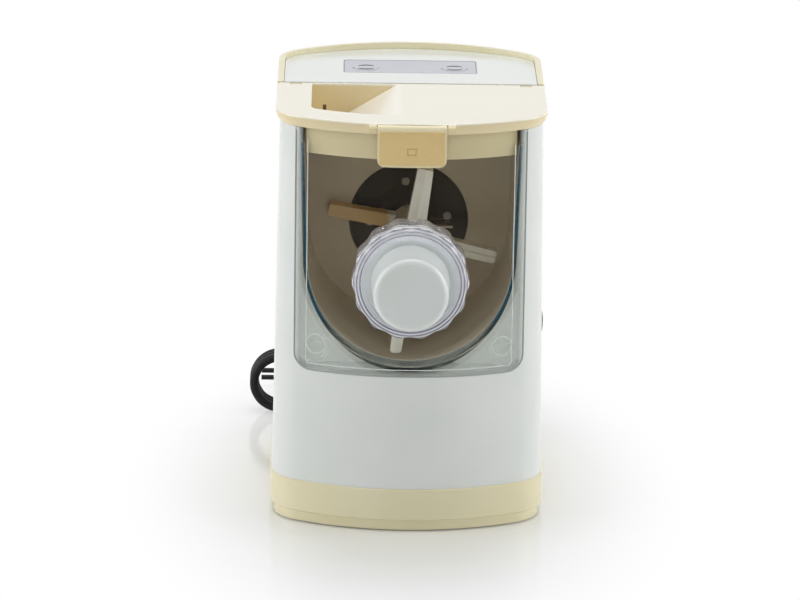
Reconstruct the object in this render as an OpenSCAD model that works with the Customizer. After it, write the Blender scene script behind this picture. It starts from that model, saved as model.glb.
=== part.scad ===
// Electric pasta maker: a motor behind the bulkhead turns an auger and mixing paddle through two gear stages.
// Front of the machine faces -Y, the floor is z = 0, and "depth" runs back from the lid's front edge.

/* [Body] */
// Width of the lid at its rim
lid_w = 200; // [196:1:210]
// Depth of the lid and rear rim from front to back
lid_d = 262; // [256:1:275]
// Height from the floor to the top of the lid
body_h = 311; // [306:1:325]
// Depth of the curved front end
front_bulge = 51; // [46:1:54]
// Depth of the curved back end
back_bulge = 57; // [52:1:60]
// Radius of the four upright corners
corner_r = 34; // [28:1:38]
// Wall thickness of the body shell
wall = 3; // [2.4:0.1:3.4]
// How far the body's top edge stands in from the lid
body_top_in = 3.3; // [3:0.1:3.8]
// How much the body widens on each side from top to bottom
flare = 4; // [2:0.5:4.5]
// Height of the lid rim
rim_h = 9; // [8.5:0.5:11]

/* [Base] */
// Top of the base band above the floor
base_top = 33; // [30:1:40]
// Top of the inset plinth above the floor
plinth_top = 9; // [7:1:12]
// How far the base band stands out past the lid
base_out = 2; // [1.5:0.1:3]
// Height of the rubber feet
foot_h = 2; // [1.5:0.1:3]
// Radius of the rubber feet
foot_r = 9; // [7:0.5:11]

/* [Tank] */
// Height of the tank and auger axis above the floor
axis_z = 200; // [198:1:203]
// Wall thickness of the tank
tank_wall = 2.5; // [2:0.1:3]
// Outward lean of the tank's sides in degrees
tank_flare = 2.1; // [0:0.1:2.4]
// Depth of the tank's front edge behind the lid front
tank_front = 26; // [25.5:0.5:28]
// Length of the tank from front edge to rear face
tank_len = 121; // [116:1:124]
// Gap from the tank's top edge up to the lid's top
tank_under = 21; // [19:1:26]
// Thickness of the seal between tank and front panel
seal_t = 1.6; // [1.2:0.1:2]
// Width of the seal's face
seal_w = 1.9; // [1.6:0.1:2.4]

/* [Front panel] */
// Width of the clear front panel
panel_w = 169; // [165:1:170]
// Width of the panel on each side of the tank
panel_side = 7; // [6.5:0.5:9]
// Height of the panel's lower edge above the floor
panel_bottom = 119.3; // [118:0.5:121]
// Thickness of the panel's skin and ribs
panel_t = 2.5; // [2:0.1:3]
// Radius of the panel's lower corners
panel_r = 12; // [8:1:14]
// Outer radius of the two locating bosses
boss_r = 9.3; // [8:0.1:10]

/* [Outlet] */
// Outer radius of the extruder nut
nut_r = 43; // [42:0.5:46]
// Length of the extruder nut
nut_len = 31; // [28:1:36]
// Number of lobes round the nut
nut_lobes = 14; // [10:1:18]
// Outer radius of the barrel that carries the nut
barrel_r = 38; // [36:0.2:38.4]
// Radius of the auger bore in the barrel
barrel_bore = 24.3; // [22:0.1:26]
// Height of the coarse thread on the barrel
thread_h = 1.6; // [1.2:0.1:1.8]
// Width of the thread's ribs along the axis
thread_w = 2.8; // [2.4:0.1:3.4]
// Thickness of the shaping die
die_t = 6; // [5:0.5:8]
// Radius of the outlet cap at its flange
cap_flange_r = 35.5; // [34:0.5:36.5]
// Radius of the cap's cup
cap_r = 28.6; // [26:0.2:30]
// Length of the cap's cup from flange to front
cap_len = 35; // [28:1:40]
// Distance the nut and cap travel in one turn
nut_lead = 10; // [6:1:12]

/* [Mixer] */
// Clearance from the paddle arms to the tank wall
arm_gap = 3.5; // [2.5:0.5:14]
// Width of a paddle arm near its tip
arm_w = 9.3; // [8:0.1:11]
// Radius of the paddle's sleeve
sleeve_r = 12; // [11:0.5:14]
// Radius of the auger's core
core_r = 8; // [7:0.5:9]
// Axial distance between turns of the auger
auger_pitch = 18; // [14:1:24]
// Radius of the drive shaft
shaft_r = 7; // [5.5:0.5:7]

/* [Drive] */
// Module of the output gear stage
out_module = 1.5; // [1.45:0.01:1.52]
// Teeth on the output gear
out_teeth = 90; // [84:1:92]
// Teeth on the idler's small gear
idler_small = 17; // [16:1:19]
// Module of the motor stage
mot_module = 1; // [0.97:0.01:1.03]
// Teeth on the idler's large gear
idler_large = 86; // [80:1:88]
// Teeth on the motor pinion
pinion_teeth = 14; // [13:1:16]
// Play between meshing teeth
backlash = 0.3; // [0.2:0.05:0.4]
// Radius of the motor can
motor_r = 34; // [30:1:35]
// Length of the motor can
motor_len = 62; // [50:1:66]

/* [Lid] */
// Depth of the seam between lid and control panel
seam_d = 127.7; // [126:0.5:129]
// Radius of the lid's rounded hinge edge
edge_r = 4.5; // [4.2:0.1:4.5]
// Thickness of the lid's top plate
plate_t = 2.5; // [2:0.1:3]
// Depth of the lid's skirt below the body's top edge
skirt_drop = 20; // [16:1:22]
// Depth of the pour hopper below the lid's top
hopper_deep = 27; // [22:1:28]
// Width of the latch plate
latch_w = 50.4; // [44:0.2:51]
// Length of the latch plate below its pin
latch_drop = 28.5; // [22:0.5:32]
// Radius of the latch's pin barrel
latch_barrel = 2.9; // [2.6:0.1:3.1]

/* [Controls] */
// Height that the control panel loses towards the back
panel_drop = 4.5; // [3:0.5:5]
// Width of the touch strip
strip_w = 101; // [90:1:110]
// Depth of the touch strip from front to back
strip_d = 48; // [38:0.5:50]
// Depth of the strip's middle behind the lid front
strip_at = 188.6; // [186:0.2:194]
// Radius of the two buttons
button_r = 9.5; // [8:0.1:11]
// Distance of each button's middle from the strip's end
button_in = 17; // [15:0.5:20]
// Travel of a button
button_travel = 0.8; // [0.5:0.1:0.8]

/* [Fits] */
// Radial running clearance of shafts and pins
run = 0.05; // [0.02:0.01:0.08]
// Gap between curved or moving pieces
gap = 0.3; // [0.3:0.05:0.4]
// Radius of the hinge and latch pins
pin_r = 1.5; // [1.3:0.1:1.7]

/* [Hidden] */
$fn = 64;

cream = [0.86, 0.80, 0.62];
lid_cream = [0.94, 0.91, 0.84];
white = [0.94, 0.95, 0.93];
clear = [0.82, 0.86, 0.88];
smoke = [0.45, 0.42, 0.38];
steel = [0.62, 0.62, 0.64];
dark = [0.22, 0.18, 0.16];
black = [0.06, 0.06, 0.06];

// Outlet stack, measured forwards from the lid's front edge
nut_gap = 2;                                   // nut to lid front
lip_t = 3;                                     // nut's front lip
flange_t = 3;                                  // cap flange
nut_front = nut_gap + nut_len;
flange_front = nut_front - lip_t - gap;
die_front = flange_front - flange_t;
barrel_front = die_front - die_t - gap;
nose = flange_front + cap_len;                 // cap front to lid front

// The footprint: origin under the middle of the whole machine
overall_d = nose + lid_d + base_out;
lf = -overall_d / 2 + nose;                    // y of the lid's front edge
lb = lf + lid_d;                               // y of its back edge
half_w = lid_w / 2;
function end_r(bulge) = (pow(half_w - corner_r, 2) + bulge * bulge - corner_r * corner_r)
                        / (2 * (bulge - corner_r));
front_r = end_r(front_bulge);                  // large front arc
back_r = end_r(back_bulge);                    // large back arc
front_a = atan2(half_w - corner_r, front_r - front_bulge);
back_a = atan2(half_w - corner_r, back_r - back_bulge);

function arc(c, r, a0, a1, n, skip = 0) =
  [for (i = [skip : n - skip]) let (a = a0 + (a1 - a0) * i / n) [c[0] + r * cos(a), c[1] + r * sin(a)]];

// Outline of the body seen from above, drawn in by "inset"
function plan(inset, n = 10, m = 20) = let (r = corner_r - inset, x = half_w - corner_r) concat(
  arc([x, lb - back_bulge], r, 0, 90 - back_a, n),
  arc([0, lb - back_r], back_r - inset, 90 - back_a, 90 + back_a, m, 1),
  arc([-x, lb - back_bulge], r, 90 + back_a, 180, n),
  arc([-x, lf + front_bulge], r, 180, 270 - front_a, n),
  arc([0, lf + front_r], front_r - inset, 270 - front_a, 270 + front_a, m, 1),
  arc([x, lf + front_bulge], r, 270 + front_a, 360, n));

shell_top = body_h - rim_h;
function body_in(z) = body_top_in - flare * (shell_top - z) / (shell_top - base_top);

// The tank and its depths
tank_r = panel_w / 2 - panel_side;
tank_rise = body_h - tank_under - axis_z;      // top edge above the axis
arm_reach = tank_r - tank_wall - arm_gap;
tank_back = tank_front + tank_len;
bulk_front = tank_back + 2;
bulk_t = 4;
bulk_w = half_w - 12;                          // bulkhead, half width
bulk_back = bulk_front + bulk_t;
stage1_front = bulk_back + 3;                  // motor stage
stage1_t = 6;
stage2_front = stage1_front + stage1_t + 2;    // output stage
stage2_t = 8;
plate_front = stage2_front + stage2_t + 3;
plate_back = plate_front + 3;

// Gear centres, one above the other
out_r = out_module * out_teeth / 2;
small_r = out_module * idler_small / 2;
large_r = mot_module * idler_large / 2;
pinion_r = mot_module * pinion_teeth / 2;
idler_z = axis_z - out_r - small_r;
motor_z = idler_z - large_r - pinion_r;
idler_shaft_r = 5;
motor_shaft_r = 4;

// Heights and widths of the bay round the tank
floor_top = 4;
floor_bottom = 1;
bay_w = tank_r + 4.5;                          // inner half width
bay_t = 2.3;
bay_floor = panel_bottom - 7.3;
bay_floor_t = 3;
bay_front = tank_front + 5;
bay_top = shell_top - 6;

hub_r = 45;
bush_r = 11;
seal_r = 12;

pivot_d = seam_d - edge_r - 0.4;               // lid hinge
pivot_z = body_h - edge_r;
ear_x = 82;                                    // hinge ears
ear_t = 8;
skirt_in = 9.5;                                // lid skirt in from the lid's edge
skirt_t = 2;
skirt_z = shell_top - skirt_drop;
skirt_w = tank_r + (skirt_z - axis_z) * tan(tank_flare) - tank_wall - 1;
skirt_back = pivot_d - 2.8;
hopper_in = 26.2;                              // hopper's walls in from the lid's edge
hopper_right = -10.8;
hopper_foot = -55.5;                           // where the ramp meets the floor
hopper_left = -(skirt_w - skirt_t - 0.4);
hopper_floor = body_h - hopper_deep;
latch_d = -1;                                  // latch pin
latch_z = body_h - latch_barrel - 0.4;
latch_half = latch_w / 2;
latch_ear = 5.5;
latch_end = latch_half + 0.8 + latch_ear;

rim_in = 5;
tilt = atan2(panel_drop, lid_d - rim_in - seam_d);
face_t = 2.5;                                  // control panel
strip_t = 0.8;
board_drop = 14;
stem_r = 3;
button_x = strip_w / 2 - button_in;
switch_h = 3.2;

cover_low = base_top + 27;
cover_high = body_h - 26;
lip_w = 5;
screw_x = 20;

// Mains cord
cord_r = 3.5;
gland_x = 70;
gland_z = 104;
cover_w = gland_x - 14;                        // rear cover, half width
fold_r = 21;                                   // bend at the hank's ends
hank_left = -97.5;                             // middle of its left fold
hank_right = -41.5;
hank_z = 25.2;
hank_y = [190.5, 197.5, 204.5];                // its three strands
cord_route = [
  [86, 171.3, 104], [90.5, 179.1, 104], [96.6, 189.7, 101.6], [101.8, 198.7, 94.6],
  [105.3, 204.7, 84.2], [106.5, 207, 72], [104.5, 206.9, 60.2], [100.4, 206.4, 52.5],
  [94.4, 205.7, 46], [83, 204.2, 36.4], [71.4, 202.4, 26.7], [57.6, 200, 17.1], [42.4, 197.2, 10],
  [26.3, 194.6, 5.8], [9.6, 192.6, 4.4], [-6, 191.2, 4.2], [-20, 190.6, 4.2], [-34, 190.5, 4.2]
];
plug_route = [
  [-40, 204.5, 46.2], [-32, 204.5, 46.2], [-26, 204.5, 46], [-13, 207.1, 44.8], [-2, 214.5, 41.4],
  [5.4, 225.5, 36], [8, 238.5, 29], [5.4, 251.5, 21.8], [-2, 262.5, 15.4], [-13, 269.9, 10.6],
  [-26, 272.5, 8], [-38, 272.5, 7.2], [-46, 272.5, 7.2]
];

// ---- Shared shapes ----

module loft(rings) {
  n = len(plan(0));
  points = [for (q = rings) for (p = plan(q[1])) [p[0], p[1], q[0]]];
  sides = [for (k = [0 : len(rings) - 2]) for (i = [0 : n - 1])
    let (j = (i + 1) % n) [k * n + i, (k + 1) * n + i, (k + 1) * n + j, k * n + j]];
  low = [for (i = [0 : n - 1]) i];
  high = [for (i = [n - 1 : -1 : 0]) (len(rings) - 1) * n + i];
  polyhedron(points, concat([low, high], sides), convexity = 6);
}

module slab(inset, z0, z1) {
  translate([0, 0, z0]) linear_extrude(z1 - z0) polygon(plan(inset));
}

module body_solid(inset, z0, z1) {
  loft([[z0, body_in(z0) + inset], [z1, body_in(z1) + inset]]);
}

module box(x0, x1, d0, d1, z0, z1) {
  translate([x0, lf + d0, z0]) cube([x1 - x0, d1 - d0, z1 - z0]);
}

// A rod that runs back from depth d0 to depth d1
module rod(r, d0, d1, z = axis_z, x = 0) {
  translate([x, lf + d0, z]) rotate([-90, 0, 0]) cylinder(r = r, h = d1 - d0);
}

// A rod that runs across from x0 to x1
module cross_rod(r, x0, x1, d, z) {
  translate([x0, lf + d, z]) rotate([0, 90, 0]) cylinder(r = r, h = x1 - x0);
}

// A flat x-z shape given thickness from depth d0 to depth d1
module upright(d0, d1, z = 0, x = 0) {
  translate([x, lf + d1, z]) rotate([90, 0, 0]) linear_extrude(d1 - d0) children();
}

module rounded(w, h, r) {
  square([w - 2 * r, h], center = true);
  square([w, h - 2 * r], center = true);
  for (x = [-1, 1], y = [-1, 1]) translate([x * (w / 2 - r), y * (h / 2 - r)]) circle(r);
}

// U outline with leaning sides, open at the top, centred on the tank's axis
module trough(r, top) {
  intersection() {
    circle(r);
    translate([-r, -r]) square([2 * r, r + 0.01]);
  }
  lean = top * tan(tank_flare);
  polygon([[-r, 0], [r, 0], [r + lean, top], [-r - lean, top]]);
}

function involute(a) = tan(a) * 180 / PI - a;
function half_tooth(m, z, r) = let (rb = m * z / 2 * cos(20))
  90 / z - backlash / (m * z) * 180 / PI / 2 + involute(20) - (r > rb ? involute(acos(rb / r)) : 0);

// Spur gear outline with one tooth centred on angle "at"
function gear(m, z, at) = let (
  rp = m * z / 2, rb = rp * cos(20), root = rp - 1.2 * m, tip = rp + 0.85 * m,
  radii = root < rb ? [root, rb, rp, tip] : [root, rp, tip])
  [for (k = [0 : z - 1], side = [-1, 1], i = [0 : len(radii) - 1])
    let (r = side < 0 ? radii[i] : radii[len(radii) - 1 - i],
         a = at + 360 * k / z + side * half_tooth(m, z, r)) [r * cos(a), r * sin(a)]];

// Helical rib round +Z from radius r0 to r1, "steps" flats to a turn
module helix_rib(r0, r1, wide, lead, turns, start = 0, steps = 20) {
  last = round(turns * steps);
  taper = 0.7;
  points = [for (i = [0 : last]) let (a = start + 360 * i / steps, z = lead * i / steps)
    for (q = [[r0, -1], [r1, -taper], [r1, taper], [r0, 1]])
      [q[0] * cos(a), q[0] * sin(a), z + q[1] * wide / 2]];
  walls = [for (i = [0 : last - 1], k = [0 : 3]) let (j = (k + 1) % 4, p = 4 * i, q = 4 * i + 4)
    each [[p + k, q + j, q + k], [p + k, p + j, q + j]]];
  polyhedron(points, concat([[3, 2, 1, 0], [for (k = [0 : 3]) 4 * last + k]], walls), convexity = 8);
}

function unit(v) = v / norm(v);

// Round tube through a list of points
module tube(route, r, across, sides = 10) {
  n = len(route);
  points = [for (i = [0 : n - 1]) let (
    t = unit(route[min(i + 1, n - 1)] - route[max(i - 1, 0)]),
    u = unit(cross(t, across)), v = cross(t, u))
    for (k = [0 : sides - 1]) route[i] + r * (cos(360 * k / sides) * u + sin(360 * k / sides) * v)];
  walls = [for (i = [0 : n - 2]) for (k = [0 : sides - 1]) let (j = (k + 1) % sides)
    [i * sides + k, i * sides + j, (i + 1) * sides + j, (i + 1) * sides + k]];
  first = [for (k = [sides - 1 : -1 : 0]) k];
  last = [for (k = [0 : sides - 1]) (n - 1) * sides + k];
  polyhedron(points, concat([first, last], walls), convexity = 6);
}

// Places children on the curved back wall, local +Y pointing straight out of it
module on_back(x, z) {
  r = back_r - body_in(z);
  a = asin(x / back_r);
  translate([r * sin(a), lb - back_r + r * cos(a), z]) rotate([0, 0, -a]) children();
}

// Places children on the tilted control panel, z = 0 at its top face, y = 0 at the seam
module on_panel() {
  translate([0, lf + seam_d + gap, body_h - gap]) rotate([-tilt, 0, 0]) children();
}

// ---- Housing ----

module rear_window(x, z0, z1) {
  translate([-x, lb - back_bulge, z0]) cube([2 * x, back_bulge + 5, z1 - z0]);
}

module rear_holes(r) {
  for (x = [-screw_x, screw_x], z = [cover_low, cover_high - lip_w])
    rod(r, lid_d - 20, lid_d + 5, z + lip_w / 2, x);
}

module body_shell() {
  color(white) difference() {
    body_solid(0, base_top, shell_top);
    body_solid(wall, base_top - 1, shell_top + 1);
    upright(-5, bay_front + 9, (panel_bottom + shell_top) / 2)
      panel_face(panel_w + 2 * gap, shell_top - panel_bottom + 2 * gap, panel_r + gap);
    rear_window(cover_w - lip_w, cover_low + lip_w, cover_high - lip_w);
    difference() {
      rear_window(cover_w, cover_low, cover_high);
      body_solid(1.7, cover_low - 5, cover_high + 5);
    }
    rear_holes(1.1);
    on_back(gland_x, gland_z) rotate([90, 0, 0]) cylinder(r = 6.1, h = 20, center = true);
  }
}

module rear_cover() {
  vent_w = 30;
  vent_h = 3;
  vent_gap = 8;
  color(white) difference() {
    intersection() {
      union() {
        difference() {
          body_solid(0, cover_low + gap, cover_high - gap);
          body_solid(1.6, cover_low - 1, cover_high + 1);
        }
        difference() {
          body_solid(1, cover_low + lip_w + gap, cover_high - lip_w - gap);
          body_solid(wall, cover_low, cover_high);
          for (s = [-1, 1]) translate([s * (cover_w + 50 - lip_w - gap), lb - 40, 0])
            cube([100, 100, 2 * body_h], center = true);
        }
      }
      rear_window(cover_w - gap, cover_low + gap, cover_high - gap);
    }
    for (x = [-vent_w - 4, 4], k = [0 : 9])
      let (low = cover_low + 25 + k * vent_gap) box(x, x + vent_w, lid_d - 30, lid_d + 5, low, low + vent_h);
    rear_holes(1.1);
  }
}

module rear_screws() {
  color(steel) for (x = [-screw_x, screw_x], z = [cover_low, cover_high - lip_w]) {
    zc = z + lip_w / 2;
    y = lb - back_r + sqrt(pow(back_r - body_in(zc), 2) - x * x) - lf;
    rod(2.2, y + 0.3, y + 1.3, zc, x);
    rod(1, y - 6, y + 0.3, zc, x);
  }
}

foot_x = half_w - 30;
foot_spots = [for (x = [-foot_x, foot_x], d = [front_bulge - 6, lid_d - back_bulge + 7]) [x, d]];
base_screw_x = half_w - 24;
screw_spots = [for (x = [-base_screw_x, base_screw_x]) [x, front_bulge + 13]];

module base_tray() {
  color(cream) difference() {
    union() {
      slab(1, floor_bottom, plinth_top);
      loft([[plinth_top, -base_out + 0.8], [plinth_top + 0.8, -base_out], [base_top - 1, -base_out],
            [base_top, -base_out + 1]]);
      slab(body_in(base_top) + wall + gap, base_top - 2, base_top + 4);
    }
    slab(wall + 2, floor_top, base_top + 5);
    for (p = foot_spots) translate([p[0], lf + p[1], 0]) cylinder(r = foot_r + 0.3, h = foot_h);
    for (p = screw_spots) translate([p[0], lf + p[1], 0]) {
      cylinder(r = 3.8, h = floor_bottom + 1.6);
      cylinder(r = 1.6, h = floor_top + 1);
    }
  }
}

module feet() {
  color(black) for (p = foot_spots) translate([p[0], lf + p[1], 0]) {
    cylinder(r = foot_r - 0.6, h = foot_h / 2);
    translate([0, 0, foot_h / 2]) cylinder(r = foot_r, h = foot_h / 2);
  }
}

module base_screws() {
  color(steel) for (p = screw_spots) translate([p[0], lf + p[1], floor_bottom + 0.2]) {
    cylinder(r = 3.4, h = 1.4);
    cylinder(r = 1.5, h = 14);
  }
}

module chassis() {
  cradle_t = 4;
  cradle_top = axis_z - tank_r * 0.62;
  color(white) difference() {
    union() {
      for (s = [-1, 1]) box(s > 0 ? bay_w : -bay_w - bay_t, s > 0 ? bay_w + bay_t : -bay_w,
                            bay_front, bulk_front, bay_floor, bay_top);
      box(-bay_w - bay_t, bay_w + bay_t, bay_front, bulk_front, bay_floor, bay_floor + bay_floor_t);
      for (d = [tank_front + 24, tank_back - 37])
        box(-bay_w - 1, bay_w + 1, d, d + cradle_t, bay_floor + 1, cradle_top);
      box(-bulk_w, bulk_w, bulk_front, bulk_back, floor_top, bay_top);
      box(-bay_w - bay_t, bay_w + bay_t, pivot_d + 1.2, bulk_front, bay_top - 5, bay_top - 2);
      for (p = screw_spots) box(p[0] - 6, p[0] + 6, p[1] - 6, p[1] + 6, floor_top, bay_floor + 1);
      difference() {
        box(-bay_w - bay_t, bay_w + bay_t, bay_front, bay_front + 3, bay_floor, bay_top);
        upright(bay_front - 1, bay_front + 4, axis_z) trough(tank_r + 1, bay_top);
      }
    }
    rod(tank_r + gap, bay_front, bulk_front);
    rod(hub_r + 0.4, bulk_front - 1, bulk_front + 2);
    rod(bush_r + run, bulk_front, bulk_back + 1);
    rod(idler_shaft_r + run, bulk_front - 1, bulk_back + 1, idler_z);
    rod(motor_shaft_r + 4, bulk_front - 1, bulk_back + 1, motor_z);
    for (p = screw_spots) translate([p[0], lf + p[1], 0]) cylinder(r = 1.55, h = 20);
  }
}

hub_spots = [for (a = [5 : 90 : 275]) 29.4 * [cos(a), sin(a)]];

module hub_plate() {
  front = tank_back + gap;
  color(dark) difference() {
    union() {
      rod(hub_r, front + 1.2, bulk_front + 2);
      difference() { rod(hub_r, front, front + 1.3); rod(hub_r - 2.5, front - 1, front + 1.3); }
      difference() { rod(21.5, front, front + 1.3); rod(18.5, front - 1, front + 1.3); }
      rod(15, front, front + 1.3);
    }
    rod(bush_r + run, front - 1, bulk_back);
    for (p = hub_spots) rod(1.6, front - 1, bulk_back, axis_z + p[1], p[0]);
  }
}

module hub_screws() {
  front = tank_back + gap;
  color(steel) for (p = hub_spots) {
    rod(3, front + 0.1, front + 1.2, axis_z + p[1], p[0]);
    rod(1.5, front + 1.1, bulk_front + 1.9, axis_z + p[1], p[0]);
  }
}

module shaft_seal() {
  color(black) difference() {
    rod(seal_r, tank_back - 3.5, tank_back + gap - 0.1);
    rod(shaft_r + 0.08, tank_back - 5, tank_back + 2);
  }
}

module front_bearing() {
  color(steel) difference() {
    rod(bush_r, tank_back + gap + 0.3, bulk_back + 1.5);
    rod(shaft_r + run, tank_back, bulk_back + 3);
  }
}

plate_w = bulk_w - 6;
plate_low = motor_z - 18;
plate_high = bay_top - 16;
spacer_x = plate_w - 6;
spacer_spots = [for (x = [-spacer_x, spacer_x], z = [plate_low + 8, plate_high - 8]) [x, z]];

module gear_plate() {
  color(steel) difference() {
    box(-plate_w, plate_w, plate_front, plate_back, plate_low, plate_high);
    rod(shaft_r + run, plate_front - 1, plate_back + 1);
    rod(idler_shaft_r + run, plate_front - 1, plate_back + 1, idler_z);
    rod(motor_shaft_r + run, plate_front - 1, plate_back + 1, motor_z);
    for (s = [-1, 1]) {
      rod(15, plate_front - 1, plate_back + 1, axis_z + 30, s * 42);
      rod(15, plate_front - 1, plate_back + 1, axis_z - 60, s * 46);
    }
    for (p = spacer_spots) rod(1.6, plate_front - 1, plate_back + 1, p[1], p[0]);
  }
}

module gear_spacers() {
  color(steel) for (p = spacer_spots) {
    rod(4, bulk_back, plate_front, p[1], p[0]);
    rod(1.5, plate_front - 1, plate_back + 1, p[1], p[0]);
    rod(3, plate_back, plate_back + 2, p[1], p[0]);
  }
}

motor_back = bulk_front - 12;
motor_front = motor_back - motor_len;

module motor_can() {
  color(steel) difference() {
    rod(motor_r, motor_front, motor_back, motor_z);
    rod(motor_shaft_r + 3, motor_front - 1, motor_back + 1, motor_z);
    for (a = [45 : 90 : 360])
      rod(2.2, motor_front - 1, motor_back + 1, motor_z + (motor_r - 5) * sin(a), (motor_r - 5) * cos(a));
  }
}

module motor_brackets() {
  color([0.75, 0.75, 0.77]) for (d = [motor_front - 5, motor_back]) difference() {
    union() {
      rod(motor_r - 3, d, d + 5, motor_z);
      rod(12, d == motor_back ? d : d - 3, d == motor_back ? d + 8 : d + 5, motor_z);
    }
    rod(motor_shaft_r + run, d - 5, d + 10, motor_z);
    for (a = [0 : 60 : 300]) rod(4.5, d - 5, d + 10, motor_z + 21 * sin(a), 21 * cos(a));
  }
}

module motor_cradle() {
  color(white) difference() {
    union() {
      box(-38, 38, motor_front + 8, motor_back - 8, floor_top, floor_top + 8);
      box(-26, 26, motor_front + 8, motor_back - 8, floor_top, motor_z - 20);
    }
    rod(motor_r + 0.1, motor_front, motor_back, motor_z);
  }
}

module motor_clamp() {
  mid = (motor_front + motor_back) / 2;
  color(steel) difference() {
    union() {
      rod(motor_r + 2.1, mid - 5, mid + 5, motor_z);
      box(-motor_r - 2.1, motor_r + 2.1, mid - 5, mid + 5, floor_top + 8, motor_z);
    }
    rod(motor_r + 0.1, mid - 6, mid + 6, motor_z);
    box(-motor_r - 0.1, motor_r + 0.1, mid - 6, mid + 6, 0, motor_z);
  }
}

module power_board() {
  front = lid_d - 70;
  color([0.1, 0.35, 0.2]) union() {
    for (x = [-30, 30], d = [front + 5, front + 45]) translate([x, lf + d, floor_top]) cylinder(r = 3, h = 9);
    box(-36, 36, front, front + 50, floor_top + 8, floor_top + 9.6);
    box(-30, -6, front + 8, front + 34, floor_top + 9.5, floor_top + 32);
    box(6, 22, front + 6, front + 20, floor_top + 9.5, floor_top + 26);
    for (x = [4, 18]) translate([x + 4, lf + front + 36, floor_top + 9.5]) cylinder(r = 6, h = 20);
  }
}

module safety_switch() {
  color(black) union() {
    box(48, 68, bulk_back, bulk_back + 6.5, bay_top - 14, bay_top - 3);
    box(56, 60, bulk_back + 1.5, bulk_back + 5, bay_top - 3.5, bay_top - 1.5);
  }
}

// The lid and rear head share one moulded outline
module cap_solid() {
  loft([[shell_top, body_top_in - 0.2], [shell_top + 2.2, 1.4], [shell_top + rim_h * 0.6, 0.3],
        [body_h - 1.2, 0], [body_h - 0.4, 0.35], [body_h, 1.2]]);
}

module rear_head() {
  collar_in = body_top_in + wall + 0.4;
  rear_in = half_w - rim_in - 4.5;
  color(cream) difference() {
    union() {
      difference() {
        intersection() {
          cap_solid();
          box(-lid_w, lid_w, seam_d, lid_d + 5, shell_top, body_h + 1);
        }
        box(-rear_in, rear_in, seam_d + 2.5, lid_d - 70, shell_top - 1, body_h + 2);
        slab(rim_in + 4.5, shell_top - 1, body_h + 2);
      }
      intersection() {
        difference() {
          slab(collar_in, shell_top - 6, shell_top + 1);
          slab(collar_in + 2.4, shell_top - 7, shell_top + 2);
        }
        box(-lid_w, lid_w, seam_d, lid_d + 5, 0, body_h + 1);
      }
      box(-half_w + collar_in, half_w - collar_in, seam_d, seam_d + 2.5, shell_top - 6, body_h - 2);
      for (x = [-ear_x - ear_t, ear_x]) {
        cross_rod(edge_r - 0.6, x, x + ear_t, pivot_d, pivot_z);
        box(x, x + ear_t, pivot_d, seam_d + 1, pivot_z - edge_r + 0.6, pivot_z);
      }
    }
    intersection() {
      slab(rim_in, shell_top - 10, body_h + 10);
      on_panel() translate([-120, -gap - 0.1, -face_t - 0.1]) cube([240, 200, 30]);
    }
    cross_rod(pin_r + run, -lid_w, lid_w, pivot_d, pivot_z);
  }
}

module hinge_pins() {
  inner = ear_x - 7;
  outer = ear_x + ear_t + 6;
  color(steel) for (x = [-outer, inner]) cross_rod(pin_r, x, x + outer - inner, pivot_d, pivot_z);
}

strip_y = strip_at - seam_d - gap;             // strip's middle on the panel
button_y = strip_y - 5.6;

module control_panel() {
  color(white) difference() {
    union() {
      intersection() {
        slab(rim_in + gap, shell_top - 10, body_h + 10);
        on_panel() translate([-120, 0, -face_t]) cube([240, 200, face_t]);
      }
      on_panel() for (x = [-button_x - 8.5, button_x + 8.5], y = [-11, 11])
        translate([x, button_y + y, -board_drop]) cylinder(r = 2.5, h = board_drop - face_t + 0.5);
    }
    on_panel() translate([0, strip_y, -strip_t]) linear_extrude(strip_t + 1) rounded(strip_w, strip_d, 3);
    on_panel() for (x = [-button_x, button_x])
      translate([x, button_y, -face_t - 1]) cylinder(r = button_r + gap, h = face_t + 2);
  }
}

module touch_strip() {
  color([0.76, 0.76, 0.84]) difference() {
    on_panel() translate([0, strip_y, -strip_t]) linear_extrude(strip_t - 0.1)
      rounded(strip_w - 0.4, strip_d - 0.4, 2.8);
    on_panel() for (x = [-button_x, button_x])
      translate([x, button_y, -face_t]) cylinder(r = button_r + gap, h = face_t + 2);
  }
}

module button(x) {
  top = 0.5;
  color([0.78, 0.78, 0.86]) on_panel() translate([x, button_y, 0]) {
    translate([0, 0, -face_t - 2]) cylinder(r = button_r, h = face_t + 2 + top - 0.6);
    translate([0, 0, top - 0.6]) cylinder(r1 = button_r, r2 = button_r - 0.6, h = 0.6);
    translate([0, 0, -face_t - 2]) cylinder(r = button_r + 1.6, h = 1.9);
    translate([0, 0, -board_drop + switch_h + button_travel + 0.1])
      cylinder(r = stem_r, h = board_drop - switch_h - button_travel - face_t - 1);
  }
}

module power_button() { button(-button_x); }
module program_button() { button(button_x); }

module button_board() {
  color([0.1, 0.35, 0.2]) on_panel() union() {
    translate([-button_x - 14.5, button_y - 16, -board_drop - 1.6]) cube([2 * button_x + 29, 32, 1.6]);
    for (x = [-button_x, button_x])
      translate([x - 3, button_y - 3, -board_drop - 0.1]) cube([6, 6, switch_h + 0.1]);
  }
}

// ---- Clear parts ----

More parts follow.
